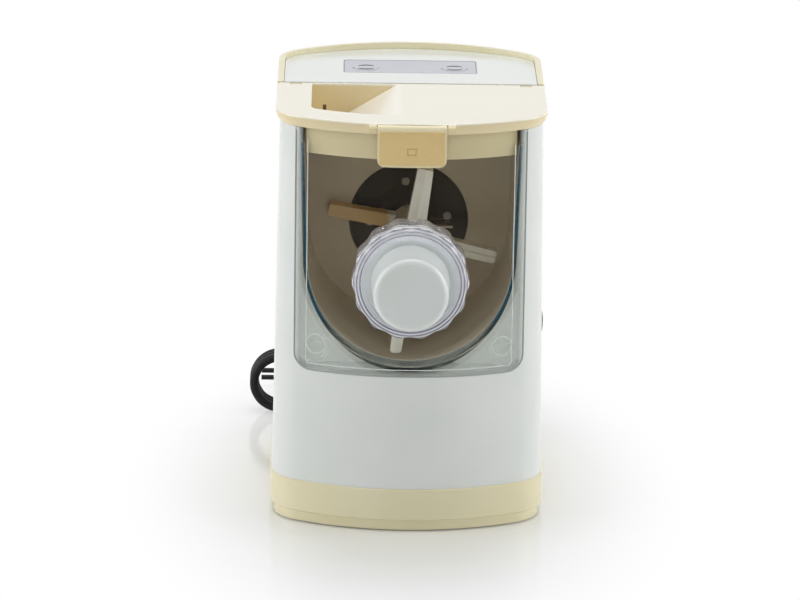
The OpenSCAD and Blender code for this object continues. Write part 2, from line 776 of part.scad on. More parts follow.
module front_panel() {
  top = shell_top - 0.1;
  mid = (panel_bottom + top) / 2;
  high = top - panel_bottom;
  rib_end = tank_front - seal_t;
  boss_x = panel_w / 2 - boss_r - 7;
  boss_z = panel_bottom + boss_r + 5.4;
  color(clear) difference() {
    union() {
      intersection() {
        body_solid(0, panel_bottom, top);
        union() {
          upright(-5, bay_front - 0.5, mid) difference() {
            panel_face(panel_w, high, panel_r);
            translate([0, panel_t]) panel_face(panel_w - 2 * panel_t, high, panel_r - panel_t);
          }
          upright(-5, rib_end, axis_z) intersection() {
            difference() {
              trough(tank_r, top - axis_z);
              trough(tank_r - tank_wall, top - axis_z + 1);
            }
            translate([-panel_w / 2, panel_bottom - axis_z]) square([panel_w, high]);
          }
          for (s = [-1, 1]) difference() {
            rod(boss_r, -5, rib_end, boss_z, s * boss_x);
            rod(boss_r - panel_t, -6, rib_end + 1, boss_z, s * boss_x);
          }
        }
      }
      difference() {
        intersection() {
          body_solid(0, panel_bottom, top);
          upright(-5, bay_front - 0.5, mid) panel_face(panel_w, high, panel_r);
        }
        body_solid(panel_t, panel_bottom - 1, top + 1);
      }
      box(14, 30.3, nut_gap - 3.2, 7, axis_z + 34, axis_z + 40.3);
      rod(barrel_r, -barrel_front, 8);
      translate([0, lf - nut_gap - thread_w, axis_z]) rotate([90, 0, 0])
        helix_rib(barrel_r - 1.2, barrel_r + thread_h, thread_w, nut_lead, thread_turns);
    }
    rod(barrel_bore, -barrel_front - 1, 10);
    difference() {
      rod(barrel_r - panel_t, -barrel_front - 1, -nut_gap);
      rod(barrel_bore + panel_t, -barrel_front - 2, -nut_gap + 1);
    }
    upright(rib_end, bay_front, axis_z) trough(tank_r + gap, top);
    box(24.8, 28.8, nut_gap - 4, nut_gap - 2.2, axis_z + 35.5, axis_z + 38.8);
  }
}

// Lower corners rounded, upper ones square
module panel_face(w, h, r) {
  translate([-w / 2, -h / 2 + r]) square([w, h - r]);
  translate([-w / 2 + r, -h / 2]) square([w - 2 * r, r + 1]);
  for (s = [-1, 1]) translate([s * (w / 2 - r), -h / 2 + r]) circle(r);
}

module tank() {
  color(smoke) difference() {
    upright(tank_front, tank_back, axis_z) trough(tank_r, tank_rise);
    upright(tank_front - 1, tank_back - 3, axis_z) trough(tank_r - tank_wall, tank_rise + 1);
    rod(seal_r + 0.05, tank_back - 5, tank_back + 1);
  }
}

module tank_seal() {
  color([0.12, 0.32, 0.36]) difference() {
    upright(tank_front - seal_t, tank_front, axis_z) trough(tank_r, tank_rise);
    upright(tank_front - seal_t - 1, tank_front + 1, axis_z) trough(tank_r - seal_w, tank_rise + 1);
  }
}

// ---- Lid and latch ----

module hopper_shape(x0, x1, foot, z0, top) {
  polygon([[x0, top], [x0, z0 + 2.5], [x0 + 2.5, z0], [foot, z0], [x1, top - 1], [x1, top]]);
}

module lid() {
  plate_z = body_h - plate_t;
  color(lid_cream) difference() {
    union() {
      difference() {
        union() {
          intersection() {
            cap_solid();
            box(-lid_w, lid_w, -5, pivot_d, shell_top + gap, body_h + 1);
          }
          intersection() {
            cap_solid();
            cross_rod(edge_r, 2 - half_w, half_w - 2, pivot_d, pivot_z);
          }
        }
        intersection() {
          slab(rim_in + 0.5, shell_top - 1, plate_z);
          box(-lid_w, lid_w, -5, pivot_d - edge_r - 1, shell_top - 1, plate_z);
        }
      }
      difference() {
        intersection() {
          slab(skirt_in, skirt_z, plate_z + 1);
          box(-skirt_w, skirt_w, 0, skirt_back, skirt_z, plate_z + 1);
        }
        intersection() {
          slab(skirt_in + skirt_t, skirt_z - 1, plate_z);
          box(-skirt_w + skirt_t, skirt_w - skirt_t, 0, skirt_back - skirt_t, skirt_z - 1, plate_z);
        }
      }
      intersection() {
        slab(hopper_in - 2, hopper_floor - 2, body_h - 0.5);
        upright(0, pivot_d, 0)
          hopper_shape(-skirt_w + 0.1, hopper_right + 2, hopper_foot - 0.6, hopper_floor - 2, body_h - 1.5);
      }
      for (x = [-latch_end, latch_end - latch_ear]) {
        cross_rod(latch_barrel, x, x + latch_ear, latch_d, latch_z);
        box(x, x + latch_ear, latch_d, 7, latch_z - latch_barrel, latch_z + latch_barrel);
      }
    }
    intersection() {
      slab(hopper_in, hopper_floor, body_h + 1);
      upright(0, pivot_d - 2, 0)
        hopper_shape(hopper_left, hopper_right, hopper_foot, hopper_floor, body_h + 1);
    }
    for (k = [0 : 2]) box(-66.3 + 5.7 * k, -62.9 + 5.7 * k, 84, 112, hopper_floor - 5, hopper_floor + 1);
    box(-66.3, -62.9, pivot_d - 3, pivot_d - 0.8, hopper_floor + 3, hopper_floor + 8);
    cross_rod(latch_barrel + 0.5, latch_ear - latch_end, latch_end - latch_ear, latch_d, latch_z);
    cross_rod(pin_r + run, 1 - latch_end, latch_end - 1, latch_d, latch_z);
    for (x = [-ear_x - ear_t, ear_x]) {
      box(x - 0.4, x + ear_t + 0.4, pivot_d - edge_r, seam_d, shell_top - 1, body_h + 1);
      cross_rod(pin_r + run, x - 8, x + ear_t + 8, pivot_d, pivot_z);
    }
  }
}

module latch_pin() {
  reach = latch_end - 1.2;
  color(steel) cross_rod(pin_r, -reach, reach, latch_d, latch_z);
}

module latch() {
  low = latch_z - latch_drop;
  color(cream) difference() {
    union() {
      cross_rod(latch_barrel, -latch_half, latch_half, latch_d, latch_z);
      intersection() {
        difference() {
          slab(latch_d - 1.5, low, latch_z - 1);
          slab(latch_d + 1.5, low - 1, latch_z);
        }
        upright(-10, 10, low + 20) rounded(latch_w, 40, 5);
      }
    }
    upright(latch_d - 3, latch_d - 1, low + 12) difference() {
      square([7.2, 5.6], center = true);
      square([5.4, 3.8], center = true);
    }
    cross_rod(pin_r + run, -latch_half - 1, latch_half + 1, latch_d, latch_z);
  }
}

// ---- Mixer and drive ----

module drive_shaft() {
  color(steel) rod(shaft_r, tank_back - 28, plate_back);
}

module output_gear() {
  front = stage2_front;
  color([0.9, 0.88, 0.8]) difference() {
    union() {
      upright(front, front + stage2_t, axis_z) polygon(gear(out_module, out_teeth, 270 + 180 / out_teeth));
      rod(16, front - 1, front + stage2_t + 2);
    }
    for (a = [0 : 60 : 300]) rod(13, front - 1, front + stage2_t + 1, axis_z + 40 * sin(a), 40 * cos(a));
    rod(shaft_r + 0.02, front - 2, front + stage2_t + 5);
  }
}

module auger() {
  front = -barrel_front + 3.4;
  back = 20;
  flight_r = barrel_bore - 0.7;
  flight_t = 3.6;
  color(white) union() {
    rod(core_r, front, tank_back - 30);
    translate([0, lf + back - flight_t / 2, axis_z]) rotate([90, 0, 0])
      helix_rib(core_r - 2, flight_r, flight_t, auger_pitch, (back - front - flight_t) / auger_pitch, 0, 24);
  }
}

// A flat arm that narrows towards its square tip, with one half of its face raised
module arm(angle, d, reach, root, tip) {
  soft = 1.5;
  upright(d - 5, d + 6, axis_z) rotate(angle)
    polygon([[sleeve_r - 3, -root / 2], [reach - soft, -tip / 2], [reach, soft - tip / 2],
             [reach, tip / 2 - soft], [reach - soft, tip / 2], [sleeve_r - 3, root / 2]]);
  upright(d - 6.4, d - 4, axis_z) rotate(angle)
    polygon([[sleeve_r - 3, -root / 2], [reach - soft, -tip / 2], [reach, soft - tip / 2], [reach, 0],
             [sleeve_r - 3, 0]]);
}

module mixing_paddle() {
  color(white) difference() {
    union() {
      rod(sleeve_r, 22, tank_back - 4);
      arm(81.4, tank_front + 5, arm_reach, arm_w + 6, arm_w + 2);
      arm(262, tank_front + 5, arm_reach - 1.5, arm_w + 2, arm_w - 1);
      arm(-13.5, tank_back - 45, arm_reach - 4.5, arm_w + 1, arm_w);
      arm(170, tank_back - 10, arm_reach - 10, arm_w + 1.5, arm_w + 0.5);
    }
    rod(core_r + run, 20, tank_back - 29.5);
    rod(shaft_r + 0.02, tank_back - 30, tank_back);
  }
}

module idler_gear() {
  color([0.9, 0.88, 0.8]) difference() {
    union() {
      upright(stage1_front, stage1_front + stage1_t, idler_z) polygon(gear(mot_module, idler_large, 270));
      upright(stage1_front + stage1_t - 1, stage2_front + stage2_t + 0.5, idler_z)
        polygon(gear(out_module, idler_small, 90));
      rod(9, stage1_front - 1, stage1_front + 1, idler_z);
    }
    rod(idler_shaft_r + 0.02, stage1_front - 3, plate_front, idler_z);
    for (a = [0 : 60 : 300])
      rod(7, stage1_front - 1, stage1_front + stage1_t - 0.001, idler_z + 28 * sin(a), 28 * cos(a));
  }
}

module idler_shaft() {
  color(steel) rod(idler_shaft_r, bulk_front + 0.2, plate_back - 0.5, idler_z);
}

module motor_shaft() {
  color(steel) rod(motor_shaft_r, motor_front - 22, plate_back - 0.5, motor_z);
}

module motor_pinion() {
  color([0.9, 0.88, 0.8]) difference() {
    upright(stage1_front - 0.5, stage1_front + stage1_t + 0.5, motor_z)
      polygon(gear(mot_module, pinion_teeth, 90 + 180 / pinion_teeth));
    rod(motor_shaft_r + 0.02, stage1_front - 2, stage1_front + stage1_t + 2, motor_z);
  }
}

module motor_fan() {
  d = motor_front - 20;
  color(black) difference() {
    union() {
      rod(9, d, d + 10, motor_z);
      rod(motor_r - 4, d + 8.5, d + 10, motor_z);
      upright(d, d + 9, motor_z) for (a = [0 : 40 : 320])
        rotate(a) translate([8, -0.8]) square([motor_r - 13, 1.6]);
    }
    rod(motor_shaft_r + 0.02, d - 1, d + 11, motor_z);
  }
}

// ---- Outlet ----

module outlet_cap() {
  front_r = cap_r - 1.2;
  soft = 5;
  t = 2.4;
  color(white) translate([0, lf - die_front, axis_z]) rotate([90, 0, 0]) rotate_extrude() {
    difference() {
      union() {
        square([cap_flange_r, flange_t]);
        polygon([[0, 0], [cap_r, 0], [cap_r, flange_t], [front_r, flange_t + cap_len - soft],
                 [front_r - soft, flange_t + cap_len - soft], [0, flange_t + cap_len - soft]]);
        translate([0, flange_t]) square([front_r - soft, cap_len]);
        translate([front_r - soft, flange_t + cap_len - soft]) intersection() {
          circle(soft);
          square(soft + 1);
        }
      }
      polygon([[0, -1], [cap_r - t, -1], [front_r - t, flange_t + cap_len - soft],
               [front_r - soft, flange_t + cap_len - t], [0, flange_t + cap_len - t]]);
    }
  }
}

module shaping_die() {
  rim = nut_bore - gap;
  color([0.92, 0.92, 0.88]) difference() {
    rod(rim, -die_front, -die_front + die_t);
    rod(rim - 9, -die_front + die_t - 2, -die_front + die_t + 1);
    for (a = [0 : 45 : 315]) upright(-die_front - 1, -die_front + die_t + 1, axis_z)
      rotate(a) translate([14, 0]) rounded(12, 2.4, 1.1);
    rod(4, -die_front - 1, -die_front + die_t + 1);
  }
}

nut_bore = barrel_r + thread_h + gap;
thread_turns = (barrel_front - nut_gap - 2 * thread_w) / nut_lead;
lobe_n = 6;
lugs = 3;

module extruder_nut() {
  outline = [for (i = [0 : nut_lobes * lobe_n - 1]) let (a = 360 * i / nut_lobes / lobe_n,
    r = nut_r - 0.9 * (1 - cos(nut_lobes * a))) [r * cos(a), r * sin(a)]];
  color(clear) union() {
    difference() {
      upright(-nut_front, -nut_gap, axis_z) polygon(outline);
      rod(nut_bore, -nut_front + lip_t, 5);
      rod(cap_flange_r - 3, -nut_front - 1, 5);
    }
    for (k = [0 : lugs - 1]) thread_lug(180 + 360 * k / lugs);
  }
}

// A lug inside the nut that rides halfway between the turns of the barrel's thread
module thread_lug(angle) {
  at = nut_gap + thread_w + nut_lead * (angle / 360 - 0.5);
  translate([0, lf - at, axis_z]) rotate([90, 0, 0]) intersection() {
    difference() {
      cylinder(r = nut_bore + 0.6, h = thread_w, center = true);
      cylinder(r = nut_bore - thread_h, h = thread_w + 1, center = true);
    }
    rotate(angle) translate([nut_bore, 0, 0]) cube([12, 20, thread_w], center = true);
  }
}

// ---- Cord ----

module cord_gland() {
  color(black) on_back(gland_x, gland_z) rotate([-90, 0, 0]) {
    translate([0, 0, 0.2]) cylinder(r = 8, h = 2);
    translate([0, 0, -9]) cylinder(r = 5.9, h = 10);
    translate([0, 0, -wall - 5.5]) cylinder(r = 8.5, h = 5);
    translate([0, 0, 2]) cylinder(r1 = 6.4, r2 = 4.3, h = 30);
  }
}

module mains_cord() {
  color(black) tube(cord_route, cord_r, [0, 1, 0]);
}

module plug_lead() {
  color(black) tube(plug_route, cord_r, [0, 0, 1]);
}

module hank_outline(grow) {
  hull() for (x = [hank_left, hank_right]) translate([x, hank_z]) circle(fold_r + cord_r + grow, $fn = 40);
}

module cord_hank() {
  front = hank_y[0] - cord_r - lf;
  back = hank_y[2] + cord_r - lf;
  color(black) upright(front, back) hank_outline(0);
}

module cord_tie() {
  front = hank_y[0] - cord_r - lf;
  back = hank_y[2] + cord_r - lf;
  x = (hank_left + hank_right) / 2;
  high = fold_r + cord_r;
  t = 0.6;
  color([0.2, 0.2, 0.2]) difference() {
    box(x - 5, x + 5, front - t, back + t, hank_z - high - t, hank_z + high + t);
    box(x - 6, x + 6, front - 0.1, back + 0.1, hank_z - high - 0.1, hank_z + high + 0.1);
  }
}

module mains_plug() {
  p = plug_route[len(plug_route) - 1];
  relief = 14;
  long = 35;
  color(black) translate([p[0], p[1], p[2]]) union() {
    rotate([0, -90, 0]) cylinder(r1 = 4, r2 = 5.5, h = relief + 1);
    translate([-relief - long, 0, 0]) rotate([0, 90, 0]) linear_extrude(long) rounded(14, 26, 5);
    for (y = [-9.5, 9.5]) translate([-relief - long - 19, y, 0]) rotate([0, 90, 0]) cylinder(r = 2, h = 20);
  }
}

body_shell();
rear_cover();
rear_screws();
base_tray();
feet();
base_screws();
chassis();
hub_plate();
hub_screws();
shaft_seal();
front_bearing();
gear_plate();
gear_spacers();
motor_can();
motor_brackets();
motor_cradle();
motor_clamp();
power_board();
safety_switch();
rear_head();
control_panel();
touch_strip();
button_board();
hinge_pins();
front_panel();
tank();
tank_seal();
cord_gland();
mains_cord();
cord_hank();
cord_tie();
plug_lead();
mains_plug();
lid();
latch_pin();
latch();
drive_shaft();
output_gear();
auger();
mixing_paddle();
idler_gear();
idler_shaft();
motor_shaft();
motor_pinion();
motor_fan();
outlet_cap();
shaping_die();
extruder_nut();
power_button();
program_button();
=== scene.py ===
import math

import bmesh
import bpy
from mathutils import Matrix, Vector


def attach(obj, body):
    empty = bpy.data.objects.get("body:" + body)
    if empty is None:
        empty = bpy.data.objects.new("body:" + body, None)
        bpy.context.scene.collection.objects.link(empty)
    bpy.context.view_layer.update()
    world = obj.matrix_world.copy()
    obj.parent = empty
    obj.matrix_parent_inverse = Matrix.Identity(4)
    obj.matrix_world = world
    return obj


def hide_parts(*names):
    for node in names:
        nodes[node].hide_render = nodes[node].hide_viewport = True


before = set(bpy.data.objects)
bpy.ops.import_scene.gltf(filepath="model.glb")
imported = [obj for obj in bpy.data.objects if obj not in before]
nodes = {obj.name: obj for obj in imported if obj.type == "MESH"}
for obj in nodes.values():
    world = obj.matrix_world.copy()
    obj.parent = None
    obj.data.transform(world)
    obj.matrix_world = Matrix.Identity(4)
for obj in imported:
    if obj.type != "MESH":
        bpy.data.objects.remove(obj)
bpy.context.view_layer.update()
scene = bpy.context.scene
mm = 0.001

# camera, turned and leaned a little
cameraSetup = {
    "lens": 233.27,
    "distance": 3.9,
    "farthest": 20,
    "target": (0, 6.35 * mm, 160 * mm),
    "elevation": 16,
    "yaw": -0.74,
    "roll": 0.9,
    "targetPixel": (408.13, 284.65),
    "image": (800, 600),
}


def makeCamera(setup):
    data = bpy.data.cameras.new("viewCamera")
    data.lens = setup["lens"]
    data.sensor_fit = "HORIZONTAL"
    data.clip_end = setup["farthest"]
    wide, high = setup["image"]
    data.shift_x = (wide / 2 - setup["targetPixel"][0]) / wide
    data.shift_y = (setup["targetPixel"][1] - high / 2) / wide
    tilt, turn, lean = (math.radians(setup[k]) for k in ("elevation", "yaw", "roll"))
    ahead = Vector((-math.sin(turn) * math.cos(tilt), math.cos(turn) * math.cos(tilt), -math.sin(tilt)))
    right = Vector((math.cos(turn), math.sin(turn), 0))
    up = right.cross(ahead)
    camRight = right * math.cos(lean) + up * math.sin(lean)
    camUp = up * math.cos(lean) - right * math.sin(lean)
    place = Matrix((camRight, camUp, -ahead)).transposed().to_4x4()
    place.translation = Vector(setup["target"]) - ahead * setup["distance"]
    cam = bpy.data.objects.new("viewCamera", data)
    scene.collection.objects.link(cam)
    cam.matrix_world = place
    scene.camera = cam


makeCamera(cameraSetup)
print("camera ready")


# node helpers; an input takes a plain value, or a link from another node's output
def fill(tree, slot, value):
    if isinstance(value, bpy.types.NodeSocket):
        tree.links.new(value, slot)
    else:
        slot.default_value = value


def fillNode(tree, node, **values):
    for key, value in values.items():
        fill(tree, node.inputs[key.replace("_", " ")], value)
    return node


def addNode(tree, kind, **values):
    return fillNode(tree, tree.nodes.new(kind), **values)


def operate(tree, kind, operation, *values):
    node = tree.nodes.new(kind)
    node.operation = operation
    for slot, value in zip(node.inputs, values):
        fill(tree, slot, value)
    return node


def maths(tree, operation, *values):
    return operate(tree, "ShaderNodeMath", operation, *values).outputs[0]


def vectorLength(tree, vector):
    return operate(tree, "ShaderNodeVectorMath", "LENGTH", vector).outputs["Value"]


def ramp(tree, value, start, end, low=0, high=1, smooth=False):
    node = addNode(tree, "ShaderNodeMapRange", Value=value, From_Min=start, From_Max=end, To_Min=low, To_Max=high)
    if smooth:
        node.interpolation_type = "SMOOTHSTEP"
    return node.outputs["Result"]


def mixShaders(tree, share, first, second):
    node = tree.nodes.new("ShaderNodeMixShader")
    for slot, value in zip(node.inputs, (share, first, second)):
        tree.links.new(value, slot)
    return node.outputs["Shader"]


# material helpers
def newMaterial(name):
    mat = bpy.data.materials.new(name)
    mat.use_nodes = True
    mat.node_tree.nodes.clear()
    return mat, mat.node_tree


def colour4(rgb):
    return (rgb[0], rgb[1], rgb[2], 1)


def srgb(*channels):
    def linear(c):
        c = c / 255
        return c / 12.92 if c <= 0.04045 else ((c + 0.055) / 1.055) ** 2.4
    return tuple(linear(c) for c in channels)


def blendColours(tree, factor, first, second):
    node = tree.nodes.new("ShaderNodeMix")
    node.data_type = "RGBA"
    fill(tree, node.inputs[0], factor)
    for slot, colour in ((6, first), (7, second)):
        fill(tree, node.inputs[slot], colour if isinstance(colour, bpy.types.NodeSocket) else colour4(colour))
    return node.outputs[2]


def objectPlace(tree):
    return tree.nodes.new("ShaderNodeTexCoord").outputs["Object"]


def objectParts(tree, source="Object"):
    coords = tree.nodes.new("ShaderNodeTexCoord")
    return addNode(tree, "ShaderNodeSeparateXYZ", Vector=coords.outputs[source]).outputs


def objectNoise(tree, scale, detail=2.0):
    return addNode(tree, "ShaderNodeTexNoise", Scale=scale, Detail=detail, Vector=objectPlace(tree)).outputs["Fac"]


# where a noise has most of its values
noiseRange = (0.3, 0.7)


def spread(tree, noise, low, high):
    return ramp(tree, noise, *noiseRange, low, high)


def roundedNormal(tree, height, look):
    bevel = addNode(tree, "ShaderNodeBevel", Radius=look["edge"])
    bevel.samples = look["edgeSamples"]
    return addNode(tree, "ShaderNodeBump", Strength=look["bump"], Distance=look["bumpDepth"], Height=height,
                   Normal=bevel.outputs["Normal"]).outputs["Normal"]


# 0 up to one place along an axis of the piece, 1 from the next on
def rampAlong(tree, axis, start, end):
    source, part = ("Normal", "Z") if axis == "facingUp" else ("Object", axis)
    return ramp(tree, objectParts(tree, source)[part], start, end, smooth=True)


# 1 only where every ramp is 1
def rampsTogether(tree, ramps):
    together = rampAlong(tree, *ramps[0])
    for one in ramps[1:]:
        together = maths(tree, "MULTIPLY", together, rampAlong(tree, *one))
    return together


# 1 along the border of a plate that faces forward, 0 inside it
def plateBorder(tree, plate):
    parts = objectParts(tree)
    sides = []
    for axis, middle, half in zip("XZ", plate["middle"], plate["half"]):
        off = maths(tree, "ABSOLUTE", maths(tree, "SUBTRACT", parts[axis], middle))
        sides.append(maths(tree, "SUBTRACT", off, half))
    return ramp(tree, maths(tree, "MAXIMUM", *sides), -plate["width"], 0, smooth=True)


# one share inside an outline seen along the machine and another outside it: round, or a U with straight sides
def outlineShare(tree, outline):
    parts = objectParts(tree)
    rise = maths(tree, "SUBTRACT", parts["Z"], outline["height"])
    if outline["openTop"]:
        rise = maths(tree, "MINIMUM", rise, 0)
    flat = addNode(tree, "ShaderNodeCombineXYZ", X=parts["X"], Z=rise)
    return ramp(tree, vectorLength(tree, flat.outputs[0]), outline["radius"] - outline["soft"], outline["radius"],
                outline["inside"], outline["outside"])


# painted highlight: haze on the ribs and bosses that stand behind a panel bowed across and leaning back, as light lines
def ribShare(tree, ribs):
    parts = objectParts(tree)
    square = maths(tree, "MULTIPLY", parts["X"], parts["X"])
    bowed = maths(tree, "MULTIPLY_ADD", square, -ribs["bow"], parts["Y"])
    leaned = maths(tree, "MULTIPLY_ADD", parts["Z"], ribs["lean"], bowed)
    return ramp(tree, leaned, *ribs["between"], high=ribs["share"])


# what a solid finish has unless its own look says otherwise
plainLook = {"metal": 0.0, "ior": 1.46, "coat": 0.0, "coatRough": 0.1, "cloudScale": 18, "grain": 500,
             "grainDetail": 3, "bump": 0.002, "bumpDepth": 0.2 * mm, "edge": 0.4 * mm, "edgeSamples": 4, "paintedLightTones": ()}


def solidFinish(name, ownLook):
    look = {**plainLook, **ownLook}
    mat, tree = newMaterial(name)
    cloud = objectNoise(tree, look["cloudScale"])
    tint = blendColours(tree, spread(tree, cloud, 0, 1), look["colour"], look["shade"])
    # painted light: each tone lightens or darkens a zone of the piece where light or shade falls on it
    for tone in look["paintedLightTones"]:
        share = rampsTogether(tree, tone["ramps"])
        if "outline" in tone:
            share = maths(tree, "MULTIPLY", share, outlineShare(tree, tone["outline"]))
        tint = blendColours(tree, share, tint, tone["colour"])
    # painted highlight: a border colour is a lighter band along a plate's edges
    if "border" in look:
        tint = blendColours(tree, plateBorder(tree, look["border"]), tint, look["border"]["colour"])
    grain = objectNoise(tree, look["grain"], look["grainDetail"])
    shader = addNode(tree, "ShaderNodeBsdfPrincipled", Base_Color=tint, Roughness=spread(tree, cloud, *look["rough"]),
                     Metallic=look["metal"], IOR=look["ior"], Coat_Weight=look["coat"],
                     Coat_Roughness=look["coatRough"], Normal=roundedNormal(tree, grain, look))
    addNode(tree, "ShaderNodeOutputMaterial", Surface=shader.outputs["BSDF"])
    mat.diffuse_color = colour4(look["colour"])
    return mat


# lamps reach what is behind the clear plastic
def lampsPass(tree, surface, tint):
    path = tree.nodes.new("ShaderNodeLightPath")
    shade = addNode(tree, "ShaderNodeBsdfTransparent", Color=colour4(tint))
    passed = mixShaders(tree, path.outputs["Is Shadow Ray"], surface, shade.outputs["BSDF"])
    addNode(tree, "ShaderNodeOutputMaterial", Surface=passed)


hazeGloss = {"Roughness": 0.4, "IOR": 1.4}


def clearFinish(name, look):
    mat, tree = newMaterial(name)
    smear = objectNoise(tree, look["smearScale"])
    # what is behind comes straight through, tinted
    tint = blendColours(tree, spread(tree, smear, 0, 1), look["colour"], look["shade"])
    through = addNode(tree, "ShaderNodeBsdfTransparent", Color=tint)
    # the smoky or milky share of the plastic; on the ribs and along the borders it is a painted highlight
    haze = addNode(tree, "ShaderNodeBsdfPrincipled", Base_Color=colour4(look["haze"]), **hazeGloss)
    share = outlineShare(tree, look["outline"])
    if "ribs" in look:
        share = maths(tree, "MAXIMUM", share, ribShare(tree, look["ribs"]))
    for border in look.get("borders", ()):
        edge = maths(tree, "MULTIPLY", plateBorder(tree, border), border["share"])
        share = maths(tree, "MAXIMUM", share, edge)
    body = mixShaders(tree, share, through.outputs["BSDF"], haze.outputs["BSDF"])
    # gloss on top, stronger where the surface turns away
    gloss = addNode(tree, "ShaderNodeBsdfGlossy", Color=(1, 1, 1, 1), Roughness=spread(tree, smear, *look["rough"]))
    facing = addNode(tree, "ShaderNodeFresnel", IOR=look["ior"])
    lampsPass(tree, mixShaders(tree, facing.outputs["Fac"], body, gloss.outputs["BSDF"]), look["shadow"])
    mat.diffuse_color = colour4(look["colour"])
    return mat


# painted highlight: more milk along the crest of each thread turn
def threadLines(tree, threads, least):
    half = threads["pitch"] / 2
    turns = maths(tree, "PINGPONG", objectParts(tree)["Y"], half)
    crest = ramp(tree, turns, threads["crest"] * half, half, smooth=True)
    milkAndPaintedLight = maths(tree, "MULTIPLY", crest, threads["share"])
    return maths(tree, "MULTIPLY_ADD", milkAndPaintedLight, rampAlong(tree, "Y", *threads["between"]), least), crest


# painted highlight and shade: light and dark turns round the nut's mouth on its stepped face, and where they show
def frontRings(tree, rings):
    toMiddle = (0, 0, -rings["height"])
    flat = operate(tree, "ShaderNodeVectorMath", "MULTIPLY_ADD", objectPlace(tree), (1, 0, 1), toMiddle)
    reach = vectorLength(tree, flat.outputs["Vector"])
    half = rings["pitch"] / 2
    low, high = rings["blend"]
    light = ramp(tree, maths(tree, "PINGPONG", reach, half), low * half, high * half)
    zone = rampAlong(tree, "Y", *rings["between"])
    for start, end in rings["reach"]:
        zone = maths(tree, "MULTIPLY", zone, ramp(tree, reach, start, end, smooth=True))
    return light, zone


milkGloss = {"Roughness": 0.15, "IOR": 1.5}
ringGloss = {"Roughness": 0.12, "IOR": 1.5}


# thick clear plastic that bends what is seen through it, with painted highlight and shade on its threads and front
# rings
def crystalFinish(name, look):
    mat, tree = newMaterial(name)
    threads, rings = look["threads"], look["rings"]
    smear = objectNoise(tree, look["smearScale"])
    milkAndCrestHighlight, crest = threadLines(tree, threads, look["milkAndCrestHighlight"])
    # painted shade: a darker tint in the grooves between the crests
    tint = blendColours(tree, crest, threads["groove"], look["colour"])
    glass = addNode(tree, "ShaderNodeBsdfPrincipled", Base_Color=tint, Roughness=spread(tree, smear, *look["rough"]),
                    IOR=look["ior"], Transmission_Weight=1.0)
    light, zone = frontRings(tree, rings)
    milk = addNode(tree, "ShaderNodeBsdfPrincipled", Base_Color=colour4(look["milk"]), **milkGloss)
    ringTint = blendColours(tree, light, rings["dark"], rings["light"])
    ringed = addNode(tree, "ShaderNodeBsdfPrincipled", Base_Color=ringTint, **ringGloss)
    milkAndPaintedLight = mixShaders(tree, zone, milk.outputs["BSDF"], ringed.outputs["BSDF"])
    share = maths(tree, "MAXIMUM", milkAndCrestHighlight, maths(tree, "MULTIPLY", zone, rings["share"]))
    lampsPass(tree, mixShaders(tree, share, glass.outputs["BSDF"], milkAndPaintedLight), look["shadow"])
    mat.diffuse_color = colour4(look["colour"])
    return mat


foodLook = {"colour": srgb(240, 234, 220), "shade": srgb(235, 228, 212), "rough": (0.22, 0.3), "coat": 0.1}

